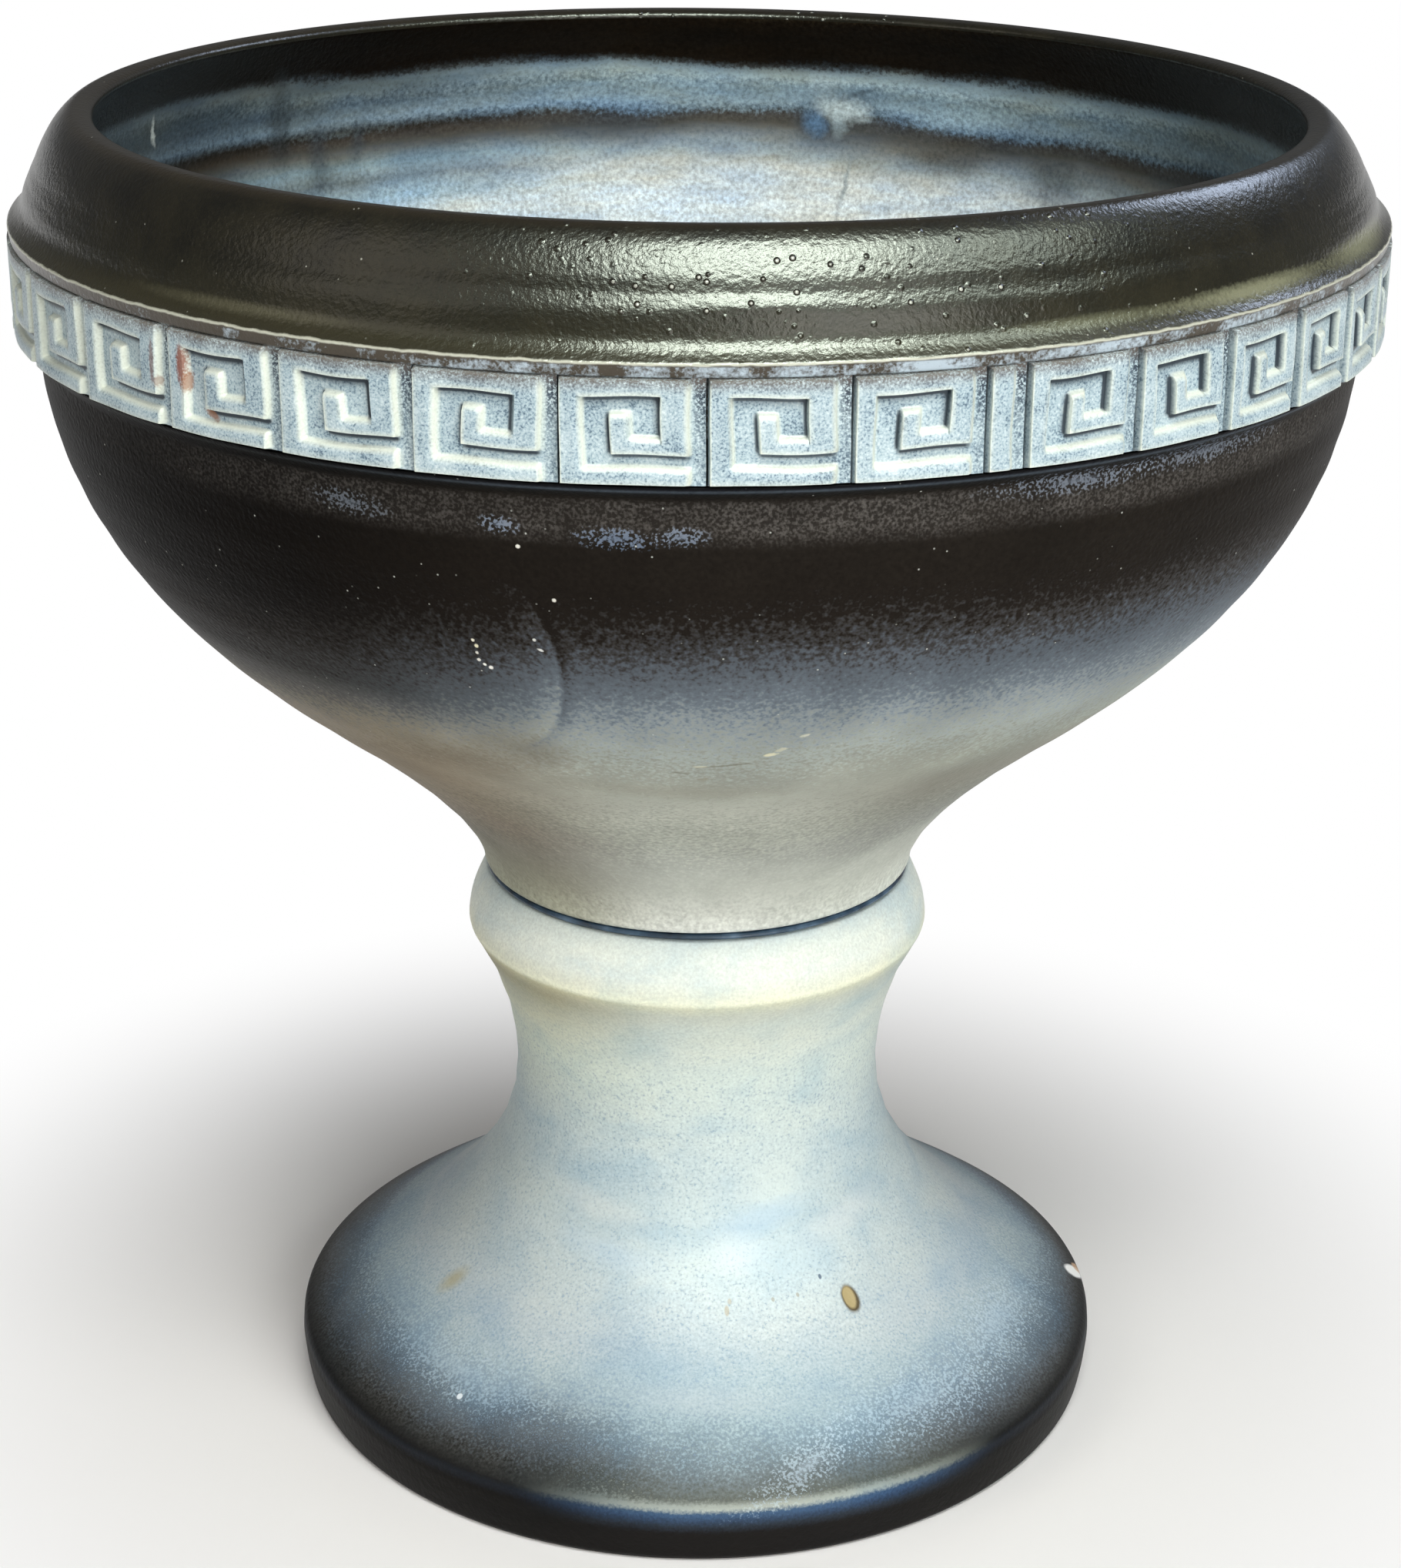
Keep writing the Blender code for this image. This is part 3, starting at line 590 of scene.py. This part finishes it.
def pedestal_glaze():
    """Stoneware under an opaque pale blue spray, left black along the foot's edge: the eye sees
    cloudy, milky blue with fine droplets, cream where the glaze is thin on an arris."""
    material, add, shader, place = new_glaze("stoneware_milky_blue_glaze_sprayed")
    x, y, height = measures(add, place)
    # spray droplets, 0.5 mm, a little coarser than the real ones, to show
    droplets = add("TexNoise", {"Vector": place, "Scale": per(0.52), "Detail": 2.0, "Roughness": 0.6})
    stipple = add("MapRange", [droplets, *NOISE, -2.0, 2.0], clamp=False)
    drift = add("TexNoise", {"Vector": place, "Scale": per(30), "Detail": 3.0, "Roughness": 0.5})
    sway = add("MapRange", [drift, *NOISE, -1.5, 1.5], clamp=False)
    loose = add("Math", [stipple, sway], operation="ADD")
    lean = add("MapRange", [x, -0.06, 0.06, -0.8, 0.9])
    loose = add("Math", [loose, lean], operation="ADD")
    # the fade is loose on the dome and settles on the arrises below and above it
    dome = add("MapRange", [height, 12.0, 15.0, 0.12])
    collar = add("MapRange", [height, 86.0, 60.0])
    for part in (dome, collar):
        loose = add("Math", [loose, part], operation="MULTIPLY")
    level = add("Math", [height, loose], operation="ADD")
    share = add("MapRange", [level, *FOOT_RANGE])
    front = add("ValToRGB", [share], by_height(FOOT_RANGE, FOOT_FRONT_COLOURS))
    # away from the front the arris loses its cream and the black edge comes over it
    angle = angle_round(add, x, y)
    angle = add("Math", [angle, -0.18], operation="ADD")
    angle = add("Math", [angle], operation="ABSOLUTE")
    aside = add("MapRange", [angle, 0.2, 0.64], interpolation_type="SMOOTHSTEP")
    sides = add("ValToRGB", [share], by_height(FOOT_RANGE, FOOT_SIDE_COLOURS))
    low = add("MapRange", [height, 58.0, 46.0])
    aside = add("Math", [aside, low], operation="MULTIPLY")
    colour = add("Mix", {0: aside, 6: front, 7: sides}, **LAID_OVER)
    # painted shade under the collar on the viewer's left
    plain_share = add("MapRange", [height, *FOOT_RANGE])
    left = add("MapRange", [x, -0.006, -0.026])
    tint = add("ValToRGB", [plain_share], by_height(FOOT_RANGE, FOOT_LEFT_SHADE))
    colour = add("Mix", {0: left, 6: colour, 7: tint}, **TINTED)
    # milky clouding, 20 mm long and 12 mm high, and droplet tone
    streaked = add("Mapping", {"Vector": place, "Scale": (1, 1, 1.7)})
    cloud = add("TexNoise", {"Vector": streaked, "Scale": per(20), "Detail": 5.0, "Roughness": 0.6,
                             "Distortion": 0.3})
    tint = add("ValToRGB", [cloud], [(0.32, "#dfe9f1"), (0.5, "#f6f8f8"), (0.66, "#fffefa")])
    colour = add("Mix", {0: 1.0, 6: colour, 7: tint}, **TINTED)
    grain = add("MapRange", [droplets, *NOISE, 0.88, 1.08])
    colour = add("VectorMath", {0: colour, "Scale": grain}, operation="SCALE")
    # under the foot: bare fired clay with iron flecks of 1.5 mm
    flecks = add("TexNoise", {"Vector": place, "Scale": per(1.5), "Detail": 3.0})
    clay = add("ValToRGB", [flecks], [(0.35, "#4f3a2a"), (0.5, "#8a6d52"), (0.7, "#a58a6d")])
    # blue droplets where the spray lies thin, white ones where it spattered
    thin_spots = add("MapRange", [droplets, 0.42, 0.33, 0.0, 0.5])
    for begin, end in ((14.0, 17.0), (88.0, 70.0)):
        part = add("MapRange", [height, begin, end])
        thin_spots = add("Math", [thin_spots, part], operation="MULTIPLY")
    colour = add("Mix", {0: thin_spots, 6: colour, 7: linear("#7f98ae")}, **LAID_OVER)
    speckle = add("MapRange", [droplets, 0.46, 0.62, 1.2, 0.0])
    spattered = add_marks(add, place, speckle, colour, 0.4, FOOT_SPATTER)
    smeared = add_marks(add, place, cloud, spattered, 0.6, FOOT_SMEARS)
    marked = add_marks(add, place, cloud, smeared, 0.15, FOOT_MARKS)
    under = add("Attribute", attribute_name="underside")
    colour = add("Mix", {0: under.outputs["Fac"], 6: marked, 7: clay}, **LAID_OVER)
    feed(shader, {"Base Color": colour, "Normal": orange_peel(add, place, 1.0, 2.0, 0.8, 0.12),
                  "Roughness": 0.5, "IOR": 1.5, "Specular IOR Level": 0.1})
    return material


def slip_glaze():
    """Cobalt slip squeezed out of the joint and glazed over: a thin, uneven dark blue line."""
    material, add, shader, place = new_glaze("cobalt_slip_glazed_over")
    wash = add("TexNoise", {"Vector": place, "Scale": per(5), "Detail": 3.0})
    colour = add("ValToRGB", [wash], [(0.3, "#16222e"), (0.5, "#2d4457"), (0.7, "#587085")])
    feed(shader, {"Base Color": colour, "Roughness": 0.38, "IOR": 1.5})
    return material


def tile_glaze():
    """Sprigged stoneware under a milky blue glaze that breaks cream where it ran thin off the edges
    and pools blue-black in the corners, with painted shadow there too: the eye sees speckled pale
    blue bars with light rims."""
    material, add, shader, place = new_glaze("sprigged_stoneware_milky_blue_breaking_cream")
    # spray droplets, 0.4 mm, and clouds of 5 mm
    droplets = add("TexNoise", {"Vector": place, "Scale": per(0.36), "Detail": 2.0, "Roughness": 0.6})
    cloud = add("TexNoise", {"Vector": place, "Scale": per(5), "Detail": 3.0})
    mixed = add("Math", [cloud, 0.45, droplets], operation="MULTIPLY_ADD")
    body = add("ValToRGB", [mixed], [(0.5, "#4d6170"), (0.6, "#7b909b"), (0.7, "#98abb2"),
                                     (0.84, "#a9babf"), (1.0, "#c2cfcf")])
    # the gutter between two keys is dark with droplets, most of all at its top
    gutter = add("Attribute", attribute_name="gutter")
    sparse = add("MapRange", [droplets, 0.62, 0.46])
    sparse = add("Math", [sparse, gutter.outputs["Fac"]], operation="MULTIPLY")
    colour = add("Mix", {0: sparse, 6: body, 7: linear("#2c3844")}, **LAID_OVER)
    # the top edge is brown with droplets, like the border above it
    brown = add("Attribute", attribute_name="brown")
    bare = add("MapRange", [mixed, 0.98, 0.66])
    bare = add("Math", [bare, brown.outputs["Fac"]], operation="MULTIPLY")
    colour = add("Mix", {0: bare, 6: colour, 7: linear("#5d544c")}, **LAID_OVER)
    # thin: cream where the glaze broke; pool: blue-black where it pooled, darkened further as painted
    # shadow under the sharp walls
    for mark, stain in (("thin", "#dadecb"), ("pool", "#2b353d")):
        cover = add("Attribute", attribute_name=mark).outputs["Fac"]
        colour = add("Mix", {0: cover, 6: colour, 7: linear(stain)}, **LAID_OVER)
    marked = add_marks(add, place, droplets, colour, 0.3, TILE_MARKS)
    feed(shader, {"Base Color": marked, "Normal": orange_peel(add, place, 1.0, 2.0, 0.4, 0.06),
                  "Roughness": 0.4, "IOR": 1.5, "Specular IOR Level": 0.3})
    return material


# ---------------------------------------------------------------- bowl, pedestal and slip bead

RIM_TILT = -0.0053       # the rim dips to the viewer's right
BUBBLE_ANGLE, BUBBLE_HEIGHT = math.radians(35.4), 31.6     # the burst bubble on the foot
BUBBLE_DEEP, BUBBLE_WIDE, BUBBLE_HIGH, BUBBLE_LEAST_R = 0.5, 1.1, 1.4, 40
BOWL_RING, BOWL_RING_RUN = 0.07, 1.15       # throwing rings: depth, and height for one radian
FOOT_RING, FOOT_RING_RUN, FOOT_RING_LOW = 0.1, 1.3, 14
# the bead on the shoulder: heights from its foot to its top, and its unevenness
BEAD_HEIGHTS = (228.8, 229.7, 230.5, 231.5, 232.0, 233.2, 234.2)
BEAD_MIDDLE, BEAD_HALF = 231.4, 0.95
COVE_FOOT, SHOULDER_R = 224, 108.5          # lowest height and least radius of the shoulder
SIDE_COS, SIDE_FADE = 0.87, 0.25            # the bead runs out where an angle's cosine falls below this
CALM_R, CALM_HEIGHT = 106, 223              # beyond these the sides of the shoulder have no rings
RIM_RISE, FLOOR_R = 14, 20                  # the dip grows over this height; no rings on the floor


def bead_stands(heights):
    """How far the bead stands out of an even slope between the first and the last of these heights."""
    low, high = heights[0], heights[-1]
    radius = {z: r for r, z in SHOULDER_WALL}
    slope = (radius[low] - radius[high]) / (high - low)
    return [round(radius[z] - radius[high] - slope * (high - z), 2) for z in heights]


BEAD_STANDS = bead_stands(BEAD_HEIGHTS)


def bowl_hand(r, z, angles):
    """Throwing marks: shallow rings, a bead on the shoulder that runs out at both sides, and a rim
    that dips."""
    up = RIM_TILT * r * np.sin(angles) * np.clip((z - COVE_FOOT) / RIM_RISE, 0, 1)
    away = np.clip((SIDE_COS - np.cos(angles)) / SIDE_FADE, 0, 1)
    calm = away * min(max((r - CALM_R) / 3, 0), 1) * min(max((z - CALM_HEIGHT) / 2, 0), 1)
    if r > FLOOR_R:
        out = BOWL_RING * (1 - calm) * math.sin(z / BOWL_RING_RUN) * np.sin(2 * angles + z / 9)
    else:
        out = 0 * angles
    if r > SHOULDER_R and z > COVE_FOOT:
        bead = 0.1 * np.sin(9 * angles + 1) + 0.06 * np.sin(23 * angles)
        middle = z - BEAD_MIDDLE - 0.2 * np.sin(3 * angles)
        out = out + (1 - away) * bead * np.exp(-(middle / BEAD_HALF) ** 2)
        out = out - away * np.interp(z, BEAD_HEIGHTS, BEAD_STANDS)
    return out, up


def pedestal_hand(r, z, angles):
    """Faint throwing rings, none on the foot ring, and the dent of a burst bubble."""
    ring = FOOT_RING if z > FOOT_RING_LOW else 0.0
    out = ring * math.sin(z / FOOT_RING_RUN) * np.sin(2 * angles + z / 11)
    if r > BUBBLE_LEAST_R:
        away = np.hypot((angles - BUBBLE_ANGLE) * r / BUBBLE_WIDE, (z - BUBBLE_HEIGHT) / BUBBLE_HIGH)
        out = out - BUBBLE_DEEP * np.exp(-away ** 2)
    return out, 0 * angles


def slip_hand(r, z, angles):
    """The slip was wiped unevenly round the joint."""
    return 0.06 * np.sin(7 * angles), 0 * angles


BOWL_COLUMNS, FOOT_COLUMNS, SLIP_COLUMNS = 288, 320, 180     # points round each piece
INSIDE_TOP, SHOULDER_LOW = 239.3, 214       # where the three glazes of the bowl meet
TURNED_SHARP, TILE_SHARP = 60, 50           # edges sharper than this many degrees stay edges
bowl_rows = glazed((BOWL_INSIDE, BOWL_OUTSIDE), 0.3, 1.2)
points, faces, row_of = turned(bowl_rows, BOWL_COLUMNS, bowl_hand)
face_rows = bowl_rows[row_of[[face[0] for face in faces]]]
zones = np.where((face_rows[:, 2] == 0) & (face_rows[:, 1] < INSIDE_TOP), 2,
                 np.where(face_rows[:, 1] > SHOULDER_LOW, 1, 0))
bowl_glazes = bowl_flank_glaze(), bowl_shoulder_glaze(), bowl_inside_glaze()
make_piece("bowl_thrown", points, faces, bowl_glazes, "bowl", TURNED_SHARP, {}, zones)

pedestal_rows = glazed((PEDESTAL_OUTSIDE, PEDESTAL_INSIDE), 0.3, 1.0, closed=True)
points, faces, row_of = turned(pedestal_rows, FOOT_COLUMNS, pedestal_hand, closed=True)
make_piece("pedestal_thrown", points, faces, (pedestal_glaze(),), "pedestal",
           TURNED_SHARP, {"underside": pedestal_rows[row_of, 2]})

slip_rows = glazed((SLIP_BEAD, SLIP_BEAD[-1:]), 0.12, 0.8, closed=True)
points, faces, row_of = turned(slip_rows, SLIP_COLUMNS, slip_hand, closed=True)
make_piece("slip_bead", points, faces, (slip_glaze(),), "luting_ring", TURNED_SHARP, {})


# ---------------------------------------------------------------- relief tiles

BAND_R = 116.0           # raised faces
RELIEF = 1.2             # depth of the sunken channel
TILE_BACK_R = 113.5
TILE_LOW, TILE_HIGH = 206.5, 221.95     # up to the strap's border, whose joint the glaze has filled
TILE_H = TILE_HIGH - TILE_LOW
TILE_COUNT = 36
TILE_JOINT = 0.26        # open joint that is left between glazed neighbours
FILLER_TURN = math.radians(3.2)
FILLER_AFTER = 2
SPACING_DRIFT, SPACING_FRONT = 0.145, 0.033
FRONT_JOINT = math.radians(0.3)
CRISP, SLACK, TOP_EDGE = 0.3, 0.8, 0.4  # run of a sharp wall, of a slumped one and of the top edge
WOBBLE, SLIGHT, UNEVEN = 0.16, 0.1, 0.06       # how far the press wobbled along a tile and out of it

# raised bars as shares of the tile's width and height: left, right, top, bottom
KEY_BARS = ((0, 0.18, 0, 1), (0, 0.91, 0, 0.19), (0.69, 0.91, 0, 0.715), (0.34, 0.91, 0.53, 0.715),
            (0.34, 0.51, 0.31, 0.715), (0, 0.91, 0.81, 1))
STRIP_BARS = ((0, 0.72, 0, 1),)
FINE_GRID, WIDE_GRID = 0.14, 0.7           # mesh spacing at the relief's walls and between them


def grid_lines(length, walls, fine, wide):
    """Places along one side of a tile, close together at the relief's walls."""
    lines = [0.0]
    while lines[-1] < length:
        here = lines[-1]
        near = any(-0.25 < here - wall < 0.45 or -SLACK - 0.1 < here - wall < 0.1 for wall in walls)
        lines.append(here + (fine if near else wide))
    return np.array(lines) * (length / lines[-1])


def relief_height(u, v, bars):
    """Height of the relief, 0 on the ground to 1 on a bar: sharp on the left and lower walls of a
    bar, slumped on its right and upper walls."""
    height = np.zeros(np.broadcast(u, v).shape)
    for left, right, top, bottom in bars:
        rise = 1.0
        upper = SLACK if top > 0 else TOP_EDGE
        for inward, run in ((u - left, CRISP), (right - u, SLACK), (v - top, upper), (bottom - v, CRISP)):
            share = np.clip(inward / run, 0, 1)
            rise = rise * share * share * (3 - 2 * share)
        height = np.maximum(height, rise)
    return height


def blurred(field, radius):
    """The field smoothed both ways; the radius is in samples."""
    reach = int(3 * radius)
    weight = np.exp(-0.5 * (np.arange(-reach, reach + 1) / radius) ** 2)
    weight /= weight.sum()
    for axis in (0, 1):
        padded = np.pad(field, [(reach, reach) if k == axis else (0, 0) for k in (0, 1)], mode="edge")
        field = np.apply_along_axis(lambda line: np.convolve(line, weight, "valid"), axis, padded)
    return field


def relief_tile(start, end, shares, hand):
    """Points, faces and glaze marks of one tile, pressed in a mould and bent onto the strap."""
    width = (end - start) * BAND_R
    bars = [(a * width, b * width, c * TILE_H, d * TILE_H) for a, b, c, d in shares]
    us = grid_lines(width, sorted({w for bar in bars for w in bar[:2]}), FINE_GRID, WIDE_GRID)
    vs = grid_lines(TILE_H, sorted({w for bar in bars for w in bar[2:]}), FINE_GRID, WIDE_GRID)
    u, v = np.meshgrid(us, vs)
    height = relief_height(u, v, bars)
    # glaze breaks cream down the slumped slopes and along sharp edges, and pools under the sharp walls,
    # where the dark also stands for the walls' painted shadow
    step = 0.1
    fine_u, fine_v = np.meshgrid(np.arange(-1, width + 1, step), np.arange(-1, TILE_H + 1, step))
    fine = relief_height(fine_u, fine_v, bars)
    fall_v, fall_u = np.gradient(fine, step)
    slumped = blurred(np.clip(-fall_u, 0, None) + np.clip(fall_v, 0, None), 2.0)
    sharp = blurred(np.clip(fall_u, 0, None) + np.clip(-fall_v, 0, None), 2.0)
    rows = np.clip(((v + 1) / step).round().astype(int), 0, fine.shape[0] - 1)
    columns = np.clip(((u + 1) / step).round().astype(int), 0, fine.shape[1] - 1)
    away_from_top = np.clip((v - 0.5) / 1.2, 0.15, 1)
    breaking = (0.55 * slumped + 0.45 * sharp * fine ** 2)[rows, columns]
    thin = np.clip(breaking * away_from_top - 0.06, 0, 0.95)
    pool_shade_beside = np.roll(blurred(np.clip(fall_u, 0, None), 2.4), -2, axis=1)
    below = np.roll(blurred(np.clip(-fall_v, 0, None), 2.6), 4, axis=0)
    # the pools, with their painted shadow, are lighter in front and darker towards the sides
    depth = min(0.7 + 4.0 * (1 - math.cos((start + end) / 2)), 1.6)
    pool = np.clip(depth * ((pool_shade_beside + below) * (1 - fine))[rows, columns] - 0.1, 0, 1)
    pool = pool * np.where(u < 0.45, 0.45, 1)
    beyond = np.clip((u / width - max(share[1] for share in shares)) / 0.03, 0, 1)
    gutter = beyond * np.clip(1.3 - 1.7 * v / TILE_H, 0.3, 1)
    brown = 0.9 * np.clip(1.25 - v / 1.8, 0, 1)
    # the press wobbles inside the tile's edges and the faces are not quite flat
    rim = np.clip(np.minimum.reduce([u, width - u, v, TILE_H - v]) / 2.0, 0.25, 1)
    phase = hand.uniform(0, TURN, 6)
    du = WOBBLE * rim * np.sin(v / 2.6 + phase[0]) + SLIGHT * rim * np.sin(u / 3.1 + phase[1])
    dv = WOBBLE * rim * np.sin(u / 2.9 + phase[2]) + SLIGHT * rim * np.sin(v / 2.2 + phase[3])
    lift = UNEVEN * (np.sin(u / 2.3 + phase[4]) * np.sin(v / 2.7 + phase[5]) - 1)
    angle = start + (u + du) / BAND_R
    radius = BAND_R - RELIEF * (1 - height) + lift
    high = TILE_HIGH - (v + dv)
    front = np.stack([radius * np.sin(angle), -radius * np.cos(angle), high], axis=-1)
    lines, across = u.shape
    number = np.arange(lines * across).reshape(lines, across)
    faces = []
    for j in range(lines - 1):
        for i in range(across - 1):
            faces.append((number[j, i], number[j + 1, i], number[j + 1, i + 1], number[j, i + 1]))
    back_angle = start + us / BAND_R
    ring = np.stack([TILE_BACK_R * np.sin(back_angle), -TILE_BACK_R * np.cos(back_angle)], axis=-1)
    top_back = lines * across + np.arange(across)
    low_back = top_back + across
    for i in range(across - 1):
        faces.append((number[0, i], number[0, i + 1], top_back[i + 1], top_back[i]))
        faces.append((number[-1, i + 1], number[-1, i], low_back[i], low_back[i + 1]))
        faces.append((top_back[i], top_back[i + 1], low_back[i + 1], low_back[i]))
    faces.append((*number[::-1, 0], top_back[0], low_back[0]))
    faces.append((*number[:, -1], low_back[-1], top_back[-1]))
    points = np.vstack([front.reshape(-1, 3), np.column_stack([ring, np.full(across, TILE_HIGH)]),
                        np.column_stack([ring, np.full(across, TILE_LOW)])])
    marks = {}
    for mark, field, at_back in (("thin", thin, 0), ("pool", pool, 0.5), ("gutter", gutter, 0),
                                 ("brown", brown, 0)):
        marks[mark] = np.concatenate([field.ravel(), np.full(2 * across, at_back)])
    return points, faces, marks


def seam_angle(position):
    """Angle of a tile joint: even steps, stretched in front and on the left, squeezed elsewhere."""
    drift = SPACING_DRIFT * (math.cos(position) - 1) + SPACING_FRONT * math.sin(position)
    return position + drift + FRONT_JOINT


hand = np.random.default_rng(11)
breaking_blue = tile_glaze()
pitch = (TURN - FILLER_TURN) / TILE_COUNT
half_joint = TILE_JOINT / BAND_R / 2
place = FILLER_AFTER * pitch
run_of_tiles = [("strip_closing_the_run", "filler_strip", FILLER_TURN, STRIP_BARS)]
for number in range(1, TILE_COUNT + 1):
    node = "key_tile_%02d" % number
    run_of_tiles.append((node + "_pressed", node, pitch, KEY_BARS))
for name, node, turn, bars in run_of_tiles:
    start, end = seam_angle(place) + half_joint, seam_angle(place + turn) - half_joint
    points, faces, marks = relief_tile(start, end, bars, hand)
    make_piece(name, points, faces, (breaking_blue,), node, TILE_SHARP, marks)
    place += turn


# ---------------------------------------------------------------- floor, light and camera

scene = bpy.context.scene
scene.view_settings.view_transform = "Standard"
FLOOR_HALF = 30.0                           # metres
SHADOW_NEAR, SHADOW_FAR = 0.075, 0.21       # the floor fades to white between these, in metres


def studio_floor():
    """A pale floor that shows the bowl's shadow and runs out to plain white."""
    mesh = bpy.data.meshes.new("studio_floor")
    side = FLOOR_HALF
    corners = [(-side, -side, 0), (side, -side, 0), (side, side, 0), (-side, side, 0)]
    mesh.from_pydata(corners, [], [(0, 1, 2, 3)])
    floor = bpy.data.objects.new("studio_floor", mesh)
    scene.collection.objects.link(floor)
    material = bpy.data.materials.new("painted_board_matt_white")
    material.use_nodes = True
    material.node_tree.nodes.clear()
    add = partial(add_node, material.node_tree)
    place = add("TexCoord").outputs["Object"]
    reach = add("VectorMath", [place], operation="LENGTH")
    far = add("MapRange", [reach, SHADOW_NEAR, SHADOW_FAR], interpolation_type="SMOOTHSTEP")
    path = add("LightPath")
    seen = add("Math", [path.outputs["Is Camera Ray"], path.outputs["Is Glossy Ray"]],
               operation="MAXIMUM")
    seen = add("Math", [seen, path.outputs["Is Transmission Ray"]], operation="MAXIMUM")
    plain = add("Math", [seen, far], operation="MULTIPLY")
    paint = add("BsdfDiffuse", {"Color": linear("#f0f0ee")})
    white = add("Emission", {"Strength": 1.0})
    mixed = add("MixShader", [plain, paint, white])
    add("OutputMaterial", {"Surface": mixed})
    mesh.materials.append(material)


def softbox(name, place, aim, size, power, tint):
    """A rectangular studio lamp at `place`, turned towards `aim`; metres and watts."""
    lamp = bpy.data.lights.new(name, "AREA")
    lamp.shape = "RECTANGLE"
    lamp.size, lamp.size_y = size
    lamp.energy = power
    lamp.color = linear(tint)[:3]
    stand = bpy.data.objects.new(name, lamp)
    scene.collection.objects.link(stand)
    toward = np.array(aim, float) - np.array(place, float)
    back = -toward / np.linalg.norm(toward)
    right = np.cross((0, 0, 1), back)
    right /= np.linalg.norm(right)
    up = np.cross(back, right)
    turn = Matrix([[right[k], up[k], back[k], place[k]] for k in range(3)] + [[0, 0, 0, 1]])
    stand.matrix_world = turn
    return stand


studio_floor()
BOWL_MIDDLE, SHOULDER_AIM = (0, 0, 0.14), (0, -0.05, 0.2)
softbox("high_front_strip", (0.14, -0.70, 1.20), SHOULDER_AIM, (0.75, 0.22), 9.5, "#fffefc")
softbox("low_front_softbox", (0.62, -1.35, 0.55), BOWL_MIDDLE, (0.9, 0.8), 19, "#fffefd")
softbox("left_fill", (-1.05, -0.65, 0.95), BOWL_MIDDLE, (0.8, 0.8), 4.0, "#fff6ee")
# cards that show only in the gloss: a sheen along the shoulder, brightest in front, and a glint on
# the right
for name, spot, size, power, tint in (
        ("sheen_card", (0.12, -0.70, 1.21), (0.7, 0.24), 36, "#f0fff6"),
        ("wide_sheen_card", (0.42, -0.70, 1.21), (1.5, 0.24), 29, "#f0fff6"),
        ("glint_card", (0.7, 0.5, 0.88), (0.36, 0.34), 5.6, "#d0dffa")):
    softbox(name, spot, SHOULDER_AIM, size, power, tint).visible_diffuse = False

world = bpy.data.worlds.new("dim_studio")
world.use_nodes = True
backdrop = world.node_tree.nodes["Background"]
backdrop.inputs["Color"].default_value = linear("#dcdee2")
backdrop.inputs["Strength"].default_value = 0.2
scene.world = world

# the camera was fitted to the circles of rim, band, neck and foot
camera = bpy.data.cameras.new("photo_view")
camera.lens = 73.3556
camera.sensor_width = 36.0
view = bpy.data.objects.new("photo_view", camera)
view.matrix_world = Matrix([[0.99998464, -0.00178961, -0.00524540, -0.0025355],
                            [-0.00421386, 0.36926148, -0.92931599, -0.5430003],
                            [0.00360003, 0.92932382, 0.36924827, 0.3320939],
                            [0, 0, 0, 1]])
scene.collection.objects.link(view)
scene.camera = view
